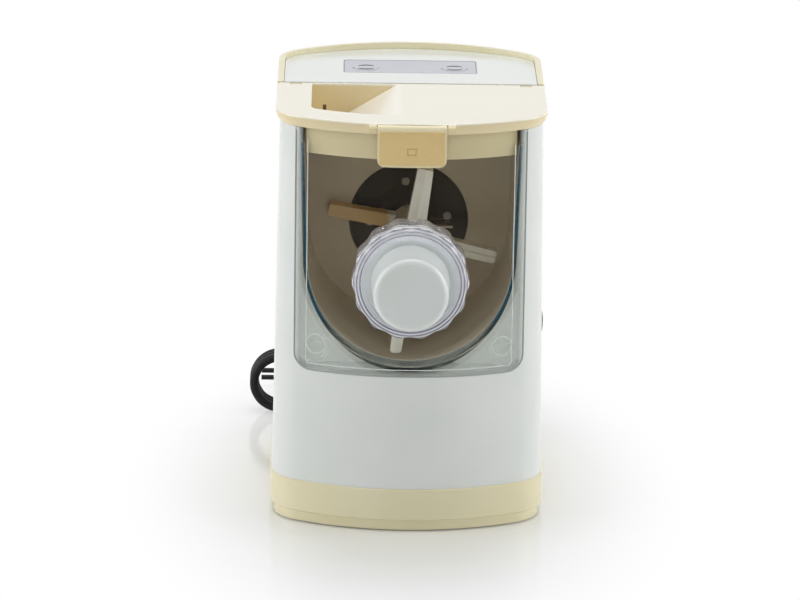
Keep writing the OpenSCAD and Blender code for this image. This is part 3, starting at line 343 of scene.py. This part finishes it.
# every finish, with the CAD nodes that wear it
finishes = {
    "bodyWhite": {"colour": srgb(236, 239, 236), "shade": srgb(231, 235, 231), "rough": (0.16, 0.22), "coat": 0.25,
                  "grain": 700, "bump": 0.01,
                  "on": ["body_shell", "rear_cover", "control_panel"]},
    "baseCream": {"colour": srgb(241, 233, 197), "shade": srgb(237, 228, 190), "rough": (0.2, 0.28), "coat": 0.2,
                  "on": ["base_tray", "rear_head", "latch_pin"]},
    "latchCream": {"colour": srgb(240, 212, 148), "shade": srgb(236, 206, 140), "rough": (0.24, 0.3), "coat": 0.2,
                   # painted highlight: a lighter band along the plate's edges, for the light on its lip
                   "border": {"middle": (0, 293.4 * mm), "half": (25.2 * mm, 14.2 * mm), "width": 2.2 * mm,
                              "colour": srgb(248, 236, 196)},
                   "on": ["latch"]},
    "lidCream": {"colour": srgb(240, 224, 182), "shade": srgb(237, 220, 176), "rough": (0.26, 0.27), "coat": 0.2,
                 # painted highlight: the top of the lid lighter than its rim, behind its front edge, where the light
                 # falls
                 "paintedLightTones": [{"ramps": [("Z", 309.2 * mm, 310.4 * mm), ("Y", -99.8 * mm, -98.6 * mm)],
                            "colour": srgb(248, 243, 227)},
                           # painted light: the upward faces of the hopper's ramp lighter, where the light falls in
                           {"ramps": [("X", -59 * mm, -50 * mm), ("X", -6 * mm, -9 * mm), ("Y", -72 * mm, -69 * mm),
                                      ("Y", 21 * mm, 20.4 * mm), ("facingUp", 0.1, 0.3)],
                            "colour": srgb(252, 248, 236)},
                           # painted shade: a dark patch on the hopper's rear wall over the slot that the CAD cuts,
                           # reaching higher than the cut
                           {"ramps": [("X", -65.8 * mm, -65.5 * mm), ("X", -63 * mm, -63.3 * mm),
                                      ("Y", 20.4 * mm, 20.8 * mm), ("Z", 288 * mm, 289 * mm),
                                      ("Z", 295.4 * mm, 294.8 * mm)],
                            "colour": srgb(96, 74, 44)}],
                 "on": ["lid"]},
    "innerWhite": {"colour": srgb(241, 242, 238), "shade": srgb(236, 238, 233), "rough": (0.38, 0.48),
                   "grain": 500, "bump": 0.08,
                   "on": ["chassis", "motor_cradle"]},
    "foodWhite": {**foodLook,
                  "on": ["auger"]},
    "paddleWhite": {**foodLook,
                    # painted shade: the upper left arm golden brown, for the dim brownish light inside the tank
                    "paintedLightTones": [{"ramps": [("X", -13 * mm, -18 * mm), ("Z", 184 * mm, 190 * mm)],
                               "colour": srgb(222, 182, 112)}],
                    "on": ["mixing_paddle"]},
    "capWhite": {"colour": srgb(232, 236, 234), "shade": srgb(227, 232, 229), "rough": (0.26, 0.32), "coat": 0.15,
                 # painted shade: the drum darker behind its front face
                 "paintedLightTones": [{"ramps": [("Y", -162.6 * mm, -159.5 * mm)], "colour": srgb(208, 214, 212)}],
                 "on": ["outlet_cap", "shaping_die"]},
    "sealTeal": {"colour": srgb(26, 92, 116), "shade": srgb(32, 98, 120), "rough": (0.42, 0.52),
                 "grain": 900, "bump": 0.08,
                 # painted shade: the seal near black towards the bottom
                 "paintedLightTones": [{"ramps": [("Z", 168 * mm, 140 * mm)], "colour": srgb(16, 26, 32)},
                           # painted highlight: a light line along the inner edge of the seal's lower part
                           {"ramps": [("Z", 160 * mm, 138 * mm), ("Z", 123.6 * mm, 124.4 * mm)],
                            "colour": srgb(140, 146, 139),
                            "outline": {"radius": 78.5 * mm, "height": 200 * mm, "openTop": True, "soft": 0.3 * mm,
                                        "inside": 1.0, "outside": 0.0}}],
                 "on": ["tank_seal"]},
    "hubBrown": {"colour": srgb(70, 52, 42), "shade": srgb(58, 42, 34), "rough": (0.2, 0.3), "ior": 1.4,
                 "grain": 600, "bump": 0.1,
                 "on": ["hub_plate"]},
    "stripLavender": {"colour": srgb(196, 199, 207), "shade": srgb(191, 194, 203), "rough": (0.24, 0.3),
                      "on": ["touch_strip"]},
    "buttonSilver": {"colour": srgb(198, 200, 209), "shade": srgb(193, 196, 205), "rough": (0.26, 0.34),
                     "on": ["power_button", "program_button"]},
    "machinedSteel": {"colour": (0.56, 0.56, 0.57), "shade": (0.5, 0.5, 0.51), "rough": (0.24, 0.38), "metal": 1.0,
                      "grain": 400, "bump": 0.06, "edge": 0.2 * mm,
                      "on": ["rear_screws", "base_screws", "hub_screws", "front_bearing", "gear_plate",
                             "gear_spacers", "motor_clamp", "hinge_pins", "drive_shaft", "idler_shaft",
                             "motor_shaft"]},
    "platedMotor": {"colour": (0.42, 0.43, 0.44), "shade": (0.36, 0.37, 0.38), "rough": (0.34, 0.46), "metal": 1.0,
                    "grain": 300, "bump": 0.08,
                    "on": ["motor_can", "motor_brackets"]},
    "gearIvory": {"colour": srgb(232, 226, 206), "shade": srgb(226, 219, 197), "rough": (0.4, 0.5),
                  "grain": 600, "bump": 0.08, "edge": 0.2 * mm,
                  "on": ["output_gear", "idler_gear", "motor_pinion"]},
    "blackPlastic": {"colour": (0.018, 0.018, 0.019), "shade": (0.024, 0.024, 0.025), "rough": (0.36, 0.48),
                     "grain": 700, "bump": 0.1,
                     "on": ["motor_fan", "safety_switch", "cord_tie"]},
    "cordBlack": {"colour": (0.008, 0.008, 0.009), "shade": (0.012, 0.012, 0.013), "rough": (0.45, 0.55), "ior": 1.3,
                  "grain": 500, "bump": 0.06,
                  "on": ["cord_gland", "mains_cord", "cord_hank", "plug_lead", "mains_plug"]},
    "footRubber": {"colour": (0.03, 0.03, 0.03), "shade": (0.04, 0.04, 0.04), "rough": (0.6, 0.75),
                   "grain": 900, "bump": 0.2,
                   "on": ["feet", "shaft_seal"]},
    "boardGreen": {"colour": srgb(38, 104, 66), "shade": srgb(30, 90, 56), "rough": (0.34, 0.42),
                   "grain": 200, "bump": 0.05,
                   "on": ["power_board", "button_board"]},
}
clearFinishes = {
    "panelClear": {"colour": (0.985, 0.992, 0.988), "shade": (0.975, 0.988, 0.982), "rough": (0.02, 0.05),
                   "ior": 1.14, "haze": srgb(228, 234, 230), "smearScale": 14,
                   "shadow": (0.99, 0.99, 0.99),
                   "outline": {"radius": 81.5 * mm, "height": 200 * mm, "openTop": True, "soft": 1.0 * mm,
                               "inside": 0.0, "outside": 0.2},
                   # painted highlight: milky ribs and edge bands, for the light lines that the ribs and the thick edge
                   # show
                   "ribs": {"bow": 3.05, "lean": -0.0149, "between": (-95.8 * mm, -94.8 * mm), "share": 0.3},
                   "borders": [{"middle": (0, 220.3 * mm), "half": (84.5 * mm, 101 * mm), "width": 3.6 * mm,
                                "share": 0.45},
                               {"middle": (0, 220.3 * mm), "half": (84.8 * mm, 140 * mm), "width": 6.6 * mm,
                                "share": 0.85}],
                   "on": ["front_panel"]},
    "tankSmoke": {"colour": (0.88, 0.84, 0.78), "shade": (0.84, 0.8, 0.73), "rough": (0.05, 0.1), "ior": 1.08,
                  "haze": srgb(248, 234, 210), "smearScale": 9, "shadow": (0.97, 0.96, 0.94),
                  "outline": {"radius": 45.3 * mm, "height": 200 * mm, "openTop": False, "soft": 0.2 * mm,
                              "inside": 0.015, "outside": 0.66},
                  "on": ["tank"]},
}
nutLook = {
    "colour": (0.96, 0.96, 0.985), "rough": (0.01, 0.04), "ior": 1.4, "smearScale": 30, "shadow": (0.95, 0.95, 0.96),
    "milk": srgb(232, 231, 242), "milkAndCrestHighlight": 0.04,
    # painted highlight on the thread crests and painted shade in the grooves
    "threads": {"pitch": 5.2 * mm, "crest": 0.6, "share": 0.12, "groove": (0.86, 0.86, 0.89),
                "between": (-131 * mm, -129 * mm)},
    # painted highlight and shade: light and dark rings on the nut's front face
    "rings": {"height": 200 * mm, "pitch": 2.3 * mm, "share": 0.6, "blend": (0.25, 0.75),
              "dark": srgb(122, 120, 150), "light": srgb(255, 255, 255), "between": (-128.6 * mm, -129.4 * mm),
              "reach": [(35.2 * mm, 35.6 * mm), (42.9 * mm, 42.3 * mm)]},
}
materials = {name: solidFinish(name, look) for name, look in finishes.items()}
materials.update({name: clearFinish(name, look) for name, look in clearFinishes.items()})
materials["nutCrystal"] = crystalFinish("nutCrystal", nutLook)

# rounds off the shading of curved CAD shells and keeps their corners crisp
shellShading = {
    "corner": 24,
    "weld": 0.002 * mm,
}


def smoothShadeTree(setup):
    tree = bpy.data.node_groups.new("smoothShade", "GeometryNodeTree")
    tree.interface.new_socket("Geometry", in_out="INPUT", socket_type="NodeSocketGeometry")
    angle = tree.interface.new_socket("corner", in_out="INPUT", socket_type="NodeSocketFloat")
    angle.default_value = math.radians(setup["corner"])
    tree.interface.new_socket("Geometry", in_out="OUTPUT", socket_type="NodeSocketGeometry")
    start = tree.nodes.new("NodeGroupInput")
    end = tree.nodes.new("NodeGroupOutput")
    bend = tree.nodes.new("GeometryNodeInputMeshEdgeAngle")
    isSoft = operate(tree, "FunctionNodeCompare", "LESS_THAN", bend.outputs["Unsigned Angle"], start.outputs["corner"])
    weld = addNode(tree, "GeometryNodeMergeByDistance", Geometry=start.outputs["Geometry"], Distance=setup["weld"])
    faces = addNode(tree, "GeometryNodeSetShadeSmooth", Geometry=weld.outputs[0], Shade_Smooth=True)
    edges = addNode(tree, "GeometryNodeSetShadeSmooth", Geometry=faces.outputs[0],
                    Shade_Smooth=isSoft.outputs["Result"])
    edges.domain = "EDGE"
    tree.links.new(edges.outputs[0], end.inputs[0])
    return tree


smoothShade = smoothShadeTree(shellShading)


def dressNode(name, mat):
    piece = nodes[name]
    if not piece.material_slots:
        piece.data.materials.append(mat)
    for slot in piece.material_slots:
        slot.material = mat
    soften = piece.modifiers.new("smoothShade", "NODES")
    soften.node_group = smoothShade


for table in (finishes, clearFinishes):
    for name, look in table.items():
        for node in look["on"]:
            dressNode(node, materials[name])
print("CAD nodes dressed")


# a tree that ends as the export wants it, with its sizes as named inputs
def newTree(name, sizes):
    tree = bpy.data.node_groups.new(name, "GeometryNodeTree")
    tree.interface.new_socket("Geometry", in_out="INPUT", socket_type="NodeSocketGeometry")
    keys = {}
    for label in sizes:
        socket = tree.interface.new_socket(label, in_out="INPUT", socket_type="NodeSocketFloat")
        keys[label] = socket.identifier
    tree.interface.new_socket("Geometry", in_out="OUTPUT", socket_type="NodeSocketGeometry")
    return tree, tree.nodes.new("NodeGroupInput").outputs, keys


def endTree(tree, geometry, mat):
    end = tree.nodes.new("NodeGroupOutput")
    real = addNode(tree, "GeometryNodeRealizeInstances", Geometry=geometry)
    paint = addNode(tree, "GeometryNodeSetMaterial", Geometry=real.outputs[0], Material=mat)
    tree.links.new(paint.outputs[0], end.inputs[0])


def moved(tree, geometry, **move):
    return addNode(tree, "GeometryNodeTransform", Geometry=geometry, **move).outputs[0]


# a rectangle with rounded corners, as a closed curve that lies flat
def roundedFrame(tree, wide, deep, radius, points):
    sides = addNode(tree, "GeometryNodeCurvePrimitiveQuadrilateral", Width=wide, Height=deep)
    corners = tree.nodes.new("GeometryNodeFilletCurve")
    # before its inputs, because only this mode has a count
    corners.mode = "POLY"
    return fillNode(tree, corners, Curve=sides.outputs["Curve"], Radius=radius, Count=points).outputs[0]


# sweeps a section along a curve
def swept(tree, curve, section, **more):
    return addNode(tree, "GeometryNodeCurveToMesh", Curve=curve, Profile_Curve=section.outputs["Curve"],
                   Fill_Caps=True, **more).outputs["Mesh"]


# runs a tree once and leaves one plain mesh, placed by its points
def meshFromTree(name, tree, keys, sizes, mat, body):
    carrier = bpy.data.objects.new(name + "Carrier", bpy.data.meshes.new(name + "Carrier"))
    scene.collection.objects.link(carrier)
    modifier = carrier.modifiers.new(name, "NODES")
    modifier.node_group = tree
    for label, value in sizes.items():
        modifier[keys[label]] = value
    shaped = carrier.evaluated_get(bpy.context.evaluated_depsgraph_get())
    mesh = bpy.data.meshes.new_from_object(shaped)
    bpy.data.objects.remove(carrier)
    mesh.name = name
    mesh.materials.clear()
    mesh.materials.append(mat)
    piece = bpy.data.objects.new(name, mesh)
    scene.collection.objects.link(piece)
    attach(piece, body)
    return piece


# screw ring: lobed grip outside, stepped lip in front, thread grooves inside
nutShape = {
    "axisHeight": 200 * mm,
    "front": -132.65 * mm,
    "lobes": 14,
    "stepsPerLobe": 10,
    "lobeDepth": 1.8 * mm,
    # mm: radius and depth behind the front, and how much of the lobes each ring follows
    "profile": [(32.6, 2.8, 0), (32.6, 0.5, 0), (33.1, 0, 0), (35.0, 0, 0), (35.5, 0.55, 0), (36.9, 0.55, 0),
                (37.4, 0.05, 0.1), (39.4, 0.1, 0.35), (41.3, 0.9, 0.8), (42.4, 2.4, 1), (42.9, 5, 1), (43, 12, 1),
                (43, 20, 1), (42.9, 27, 1), (42.4, 29.4, 0.9), (41.6, 30.7, 0.6), (40.6, 31, 0.2)],
    "boreRadius": 39.8,
    "boreFront": 3.4,
    "boreBack": 31,
    "threadRings": 5,
    "stepsPerRing": 6,
    "threadDepth": 0.4,
    "lipBack": (35.6, 3.2, 0),
    "sharpFrom": 28,
}


def nutProfile(setup):
    bore = []
    steps = setup["threadRings"] * setup["stepsPerRing"]
    for i in range(steps + 1):
        share = i / steps
        wave = 0.5 - 0.5 * math.cos(2 * math.pi * share * setup["threadRings"])
        depth = setup["boreBack"] + (setup["boreFront"] - setup["boreBack"]) * share
        bore.append((setup["boreRadius"] - setup["threadDepth"] * wave, depth, 0))
    return setup["profile"] + bore + [setup["lipBack"]]


def makeNut(setup):
    count = setup["lobes"] * setup["stepsPerLobe"]
    form = bmesh.new()
    loops = []
    for radius, depth, share in nutProfile(setup):
        loop = []
        for i in range(count):
            turn = 2 * math.pi * i / count
            dip = setup["lobeDepth"] / 2 * (1 - math.cos(setup["lobes"] * turn)) * share
            r = radius * mm - dip
            loop.append(form.verts.new((r * math.cos(turn), setup["front"] + depth * mm,
                                        setup["axisHeight"] + r * math.sin(turn))))
        loops.append(loop)
    for a, b in zip(loops, loops[1:] + loops[:1]):
        for i in range(count):
            j = (i + 1) % count
            form.faces.new((a[i], a[j], b[j], b[i]))
    bmesh.ops.recalc_face_normals(form, faces=form.faces)
    mesh = bpy.data.meshes.new("extruderNut")
    form.to_mesh(mesh)
    form.free()
    mesh.polygons.foreach_set("use_smooth", [True] * len(mesh.polygons))
    mesh.set_sharp_from_angle(angle=math.radians(setup["sharpFrom"]))
    mesh.materials.append(materials["nutCrystal"])
    nut = bpy.data.objects.new("extruderNut", mesh)
    scene.collection.objects.link(nut)
    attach(nut, "nut")
    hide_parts("extruder_nut")


makeNut(nutShape)
print("nut ready")


# painted highlight: a light ring round a boss
def bossRingHighlight(middle):
    return {"sizes": {"middle": middle, "halfWide": 7.2 * mm, "low": 132.8 * mm, "high": 147.2 * mm,
                      "cutAbove": 160 * mm, "cornerRadius": 7.19 * mm, "thickness": 0.5 * mm},
            "colour": srgb(214, 221, 218)}


# fine lines laid on the clear panel: a painted shade line along the seam round it, a bead inside it coloured light as
# its painted highlight, and a painted highlight ring round each boss
panelLightAndShadeLines = {
    "castFrom": -0.2,
    "castLength": 0.3,
    "cornerPoints": 8,
    "outlinePoints": 260,
    "sectionPoints": 6,
    "rough": (0.3, 0.35),
    "lines": {
        # painted shade: the grey line in the gap round the panel
        "panelSeam": {"sizes": {"middle": 0.0, "halfWide": 84.2 * mm, "low": 119.7 * mm, "high": 320 * mm,
                                "cutAbove": 301 * mm, "cornerRadius": 11.7 * mm, "thickness": 0.4 * mm},
                      "colour": srgb(158, 166, 162)},
        # painted highlight: the bead's light colour
        "panelBead": {"sizes": {"middle": 0.0, "halfWide": 75.8 * mm, "low": 124.6 * mm, "high": 320 * mm,
                                "cutAbove": 294 * mm, "cornerRadius": 2 * mm, "thickness": 0.32 * mm},
                      "colour": srgb(240, 243, 241)},
        "bossRingLeft": bossRingHighlight(-68.2 * mm),
        "bossRingRight": bossRingHighlight(68.2 * mm),
    },
}


# an outline that stands upright in front of the panel, open above a height
def standingOutline(tree, sizes, setup):
    wide = maths(tree, "MULTIPLY", sizes["halfWide"], 2)
    tall = maths(tree, "SUBTRACT", sizes["high"], sizes["low"])
    outline = roundedFrame(tree, wide, tall, sizes["cornerRadius"], setup["cornerPoints"])
    fine = addNode(tree, "GeometryNodeResampleCurve", Curve=outline, Count=setup["outlinePoints"])
    height = maths(tree, "MULTIPLY", maths(tree, "ADD", sizes["high"], sizes["low"]), 0.5)
    shift = addNode(tree, "ShaderNodeCombineXYZ", X=sizes["middle"], Y=setup["castFrom"], Z=height)
    upright = moved(tree, fine.outputs[0], Rotation=(math.pi / 2, 0, 0), Translation=shift.outputs[0])
    place = tree.nodes.new("GeometryNodeInputPosition")
    parts = addNode(tree, "ShaderNodeSeparateXYZ", Vector=place.outputs[0])
    tooHigh = operate(tree, "FunctionNodeCompare", "GREATER_THAN", parts.outputs["Z"], sizes["cutAbove"])
    cut = addNode(tree, "GeometryNodeDeleteGeometry", Geometry=upright, Selection=tooHigh.outputs["Result"])
    return addNode(tree, "GeometryNodeSetSplineCyclic", Geometry=cut.outputs[0], Cyclic=False).outputs[0]


def makePanelLightAndShadeLines(setup):
    for name, line in setup["lines"].items():
        mat = solidFinish(name, {"colour": line["colour"], "shade": line["colour"], "rough": setup["rough"]})
        tree, sizes, keys = newTree(name, line["sizes"])
        outline = standingOutline(tree, sizes, setup)
        # drops the outline onto the panel's face
        target = addNode(tree, "GeometryNodeObjectInfo", Object=nodes["front_panel"])
        cast = addNode(tree, "GeometryNodeRaycast", Target_Geometry=target.outputs["Geometry"],
                       Ray_Direction=(0, 1, 0), Ray_Length=setup["castLength"])
        land = addNode(tree, "GeometryNodeSetPosition", Geometry=outline, Selection=cast.outputs["Is Hit"],
                       Position=cast.outputs["Hit Position"])
        section = addNode(tree, "GeometryNodeCurvePrimitiveCircle", Resolution=setup["sectionPoints"],
                          Radius=sizes["thickness"])
        endTree(tree, swept(tree, land.outputs[0], section), mat)
        meshFromTree(name, tree, keys, line["sizes"], mat, "housing")


makePanelLightAndShadeLines(panelLightAndShadeLines)
print("panel trim ready")

# painted shade on each round button, a dark crescent in front and behind, and a painted shade line round the strip
stripPaintedShade = {
    "sizes": {"buttonApart": 67 * mm, "buttonY": 55 * mm, "arcRadius": 7.1 * mm, "arcSweep": math.radians(128),
              "markWidth": 3.2 * mm, "stripY": 60.6 * mm, "stripWide": 100.4 * mm, "stripDeep": 47.4 * mm,
              "cornerRadius": 2.8 * mm, "lineWidth": 0.8 * mm},
    "panelOrigin": (0, 28.35 * mm, 310.7 * mm),
    "panelTilt": math.radians(-1.993),
    "lift": -0.08 * mm,
    "markLift": 0.5 * mm,
    # the body that carries each mark, and its side in shares of the way between the buttons
    "markBodies": {"powerMarks": ("power_button", -0.5), "programMarks": ("program_button", 0.5)},
    "thickness": 0.16 * mm,
    "arcPoints": 17,
    "cornerPoints": 6,
    "rough": (0.4, 0.45),
    # painted shade: the crescents' colour, for the shade at the buttons' front and back edges
    "markColour": srgb(44, 46, 66),
    # painted shade: the line's colour, for the gap round the strip
    "lineColour": srgb(140, 142, 156),
}


# an arc behind the button, with a width that is full in the middle and thin at both ends
def crescent(tree, sizes, points):
    first = maths(tree, "MULTIPLY_ADD", sizes["arcSweep"], -0.5, math.pi / 2)
    arc = addNode(tree, "GeometryNodeCurveArc", Resolution=points, Radius=sizes["arcRadius"], Start_Angle=first,
                  Sweep_Angle=sizes["arcSweep"])
    along = tree.nodes.new("GeometryNodeSplineParameter")
    full = maths(tree, "SINE", maths(tree, "MULTIPLY", along.outputs["Factor"], math.pi))
    return addNode(tree, "GeometryNodeSetCurveRadius", Curve=arc.outputs["Curve"], Radius=full).outputs[0]


# sweeps a flat ribbon along a curve that lies in the panel's plane
def ribbon(tree, curve, width, thickness, **more):
    section = addNode(tree, "GeometryNodeCurvePrimitiveQuadrilateral", Width=width, Height=thickness)
    return swept(tree, curve, section, **more)


def ontoPanel(tree, geometry, setup):
    return moved(tree, geometry, Rotation=(setup["panelTilt"], 0, 0), Translation=setup["panelOrigin"])


# painted shade: dark crescents that ride with each button
def makeStripMarks(setup):
    mat = solidFinish("buttonEdgeShade", {"colour": setup["markColour"], "shade": setup["markColour"], "rough": setup["rough"]})
    for name, (body, side) in setup["markBodies"].items():
        tree, sizes, keys = newTree(name, setup["sizes"])
        radius = tree.nodes.new("GeometryNodeInputRadius")
        arc = crescent(tree, sizes, setup["arcPoints"])
        back = ribbon(tree, arc, sizes["markWidth"], setup["thickness"], Scale=radius.outputs[0])
        front = moved(tree, back, Rotation=(0, 0, math.pi))
        pair = tree.nodes.new("GeometryNodeJoinGeometry")
        for mark in (back, front):
            tree.links.new(mark, pair.inputs[0])
        across = maths(tree, "MULTIPLY", sizes["buttonApart"], side)
        spot = addNode(tree, "ShaderNodeCombineXYZ", X=across, Y=sizes["buttonY"], Z=setup["markLift"])
        placed = moved(tree, pair.outputs[0], Translation=spot.outputs[0])
        endTree(tree, ontoPanel(tree, placed, setup), mat)
        meshFromTree(name, tree, keys, setup["sizes"], mat, body)


# painted shade along the gap round the strip
def makeStripLine(setup):
    mat = solidFinish("stripLine", {"colour": setup["lineColour"], "shade": setup["lineColour"],
                                    "rough": setup["rough"]})
    tree, sizes, keys = newTree("stripLine", setup["sizes"])
    outline = roundedFrame(tree, sizes["stripWide"], sizes["stripDeep"], sizes["cornerRadius"], setup["cornerPoints"])
    line = ribbon(tree, outline, sizes["lineWidth"], setup["thickness"])
    middle = addNode(tree, "ShaderNodeCombineXYZ", Y=sizes["stripY"], Z=setup["lift"])
    placed = moved(tree, line, Translation=middle.outputs[0])
    endTree(tree, ontoPanel(tree, placed, setup), mat)
    meshFromTree("stripLine", tree, keys, setup["sizes"], mat, "housing")


makeStripMarks(stripPaintedShade)
makeStripLine(stripPaintedShade)
print("strip printed")

# mains cord, one smooth curve from the gland to the plug
cordShape = {
    "diameter": 7 * mm,
    # mm from here on
    "exit": (86, 171.3, 104),
    "route": [
        (84, 167.8, 104), (90.5, 179.1, 104), (96.6, 189.7, 101.6), (101.8, 198.7, 94.6), (105.3, 204.7, 84.2),
        (106.5, 207, 72), (104.5, 206.9, 60.2), (100.4, 206.4, 52.5), (94.4, 205.7, 46), (83, 204.2, 36.4),
        (71.4, 202.4, 26.7), (57.6, 200, 17.1), (42.4, 197.2, 10), (26.3, 194.6, 5.8), (9.6, 192.6, 4.4),
        (-6, 191.2, 4.2), (-20, 190.6, 4.2), (-34, 190.5, 4.2)],
    "plugRoute": [
        (-32, 204.5, 46.2), (-26, 204.5, 46), (-13, 207.1, 44.8), (-2, 214.5, 41.4), (5.4, 225.5, 36),
        (8, 238.5, 29), (5.4, 251.5, 21.8), (-2, 262.5, 15.4), (-13, 269.9, 10.6), (-26, 272.5, 8),
        (-38, 272.5, 7.2), (-47, 272.5, 7.2)],
    "strands": (190.5, 197.5, 204.5),
    "foldMiddles": (-41.5, -97.5),
    "foldRadius": 21,
    "hankMiddle": 25.2,
    "foldSteps": 6,
    "sectionSteps": 5,
    "curveSteps": 8,
}


# the strands lie side by side, and each turns over into the next at the right
def hankPoints(shape):
    rightX, leftX = shape["foldMiddles"]
    radius, middle, steps = shape["foldRadius"], shape["hankMiddle"], shape["foldSteps"]
    points = []
    for turn, y in enumerate(shape["strands"]):
        points += [(rightX, y, middle - radius), ((rightX + leftX) / 2, y, middle - radius)]
        for i in range(steps + 1):
            a = math.pi * i / steps
            points.append((leftX - radius * math.sin(a), y, middle - radius * math.cos(a)))
        points.append(((rightX + leftX) / 2, y, middle + radius))
        if turn == len(shape["strands"]) - 1:
            points.append((rightX, y, middle + radius))
            continue
        nextY = shape["strands"][turn + 1]
        for i in range(steps):
            a = math.pi * i / steps
            ease = (1 - math.cos(a)) / 2
            points.append((rightX + radius * math.sin(a), y + (nextY - y) * ease, middle + radius * math.cos(a)))
    return points


def makeCord(shape):
    points = shape["route"] + hankPoints(shape) + shape["plugRoute"]
    data = bpy.data.curves.new("mainsCord", "CURVE")
    data.dimensions = "3D"
    data.bevel_depth = shape["diameter"] / 2
    data.bevel_resolution = shape["sectionSteps"]
    data.resolution_u = shape["curveSteps"]
    data.use_fill_caps = True
    line = data.splines.new("BEZIER")
    line.bezier_points.add(len(points) - 1)
    for knot, point in zip(line.bezier_points, points):
        knot.co = Vector(point) * mm
        knot.handle_left_type = knot.handle_right_type = "AUTO"
    cord = bpy.data.objects.new("mainsCord", data)
    scene.collection.objects.link(cord)
    data.materials.append(materials["cordBlack"])
    bpy.context.view_layer.update()
    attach(cord, "housing")
    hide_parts("mains_cord", "cord_hank", "plug_lead")


makeCord(cordShape)
print("cord ready")

# plain studio: pale floor, white surround, soft lamps on both sides
studio = {
    "floorColour": srgb(246, 247, 246),
    "floorRough": 0.12,
    "floorSize": 6.0,
    # metres from the middle, and how much sooner across than along
    "fade": (0.14, 0.4),
    "fadeStretch": (1.8, 1.0, 1.0),
    "fadeFrom": 0.05,
    "worldLight": 0.08,
    "lamps": {
        "leftSoft": {"at": (-1.9, -0.35, 0.8), "aim": (0, 0, 0.15), "size": 1.5, "power": 21},
        "rightSoft": {"at": (1.9, -0.25, 0.8), "aim": (0, 0, 0.15), "size": 1.5, "power": 21},
        "frontSoft": {"at": (0, -2.4, 1.2), "aim": (0, 0, 0.2), "size": 1.8, "power": 5.5},
        "topSoft": {"at": (0, 0.15, 2.1), "aim": (0, 0, 0.2), "size": 1.6, "power": 21},
    },
}


# rays that see the plain white surround: straight, mirrored or through clear plastic
def whiteRays(tree):
    path = tree.nodes.new("ShaderNodeLightPath")
    seen = path.outputs["Is Camera Ray"]
    for kind in ("Is Glossy Ray", "Is Transmission Ray"):
        seen = maths(tree, "MAXIMUM", seen, path.outputs[kind])
    return seen


def makeFloor(setup):
    half = setup["floorSize"] / 2
    mesh = bpy.data.meshes.new("floor")
    mesh.from_pydata([(-half, -half, 0), (half, -half, 0), (half, half, 0), (-half, half, 0)], [], [(0, 1, 2, 3)])
    floor = bpy.data.objects.new("floor", mesh)
    scene.collection.objects.link(floor)
    mat, tree = newMaterial("paleFloor")
    shader = addNode(tree, "ShaderNodeBsdfPrincipled", Base_Color=colour4(setup["floorColour"]),
                     Roughness=setup["floorRough"])
    # the sheet runs out to plain white well away from the object
    stretch = operate(tree, "ShaderNodeVectorMath", "MULTIPLY", objectPlace(tree), setup["fadeStretch"])
    reach = vectorLength(tree, stretch.outputs["Vector"])
    fade = ramp(tree, reach, *setup["fade"], low=setup["fadeFrom"], smooth=True)
    white = addNode(tree, "ShaderNodeEmission", Color=(1, 1, 1, 1), Strength=1.0)
    onlySeen = maths(tree, "MULTIPLY", fade, whiteRays(tree))
    surface = mixShaders(tree, onlySeen, shader.outputs["BSDF"], white.outputs["Emission"])
    addNode(tree, "ShaderNodeOutputMaterial", Surface=surface)
    mesh.materials.append(mat)


def makeWorld(setup):
    world = bpy.data.worlds.new("studioWorld")
    scene.world = world
    world.use_nodes = True
    tree = world.node_tree
    tree.nodes.clear()
    seen = addNode(tree, "ShaderNodeBackground", Color=(1, 1, 1, 1), Strength=1.0)
    lit = addNode(tree, "ShaderNodeBackground", Color=(1, 1, 1, 1), Strength=setup["worldLight"])
    surface = mixShaders(tree, whiteRays(tree), lit.outputs[0], seen.outputs[0])
    addNode(tree, "ShaderNodeOutputWorld", Surface=surface)


def makeLamps(lamps):
    for name, lamp in lamps.items():
        data = bpy.data.lights.new(name, "AREA")
        data.shape = "SQUARE"
        data.size = lamp["size"]
        data.energy = lamp["power"]
        light = bpy.data.objects.new(name, data)
        scene.collection.objects.link(light)
        light.location = lamp["at"]
        light.rotation_euler = (Vector(lamp["aim"]) - Vector(lamp["at"])).to_track_quat("-Z", "Y").to_euler()


makeFloor(studio)
makeWorld(studio)
makeLamps(studio["lamps"])
scene.view_settings.view_transform = "Standard"
print("studio ready")
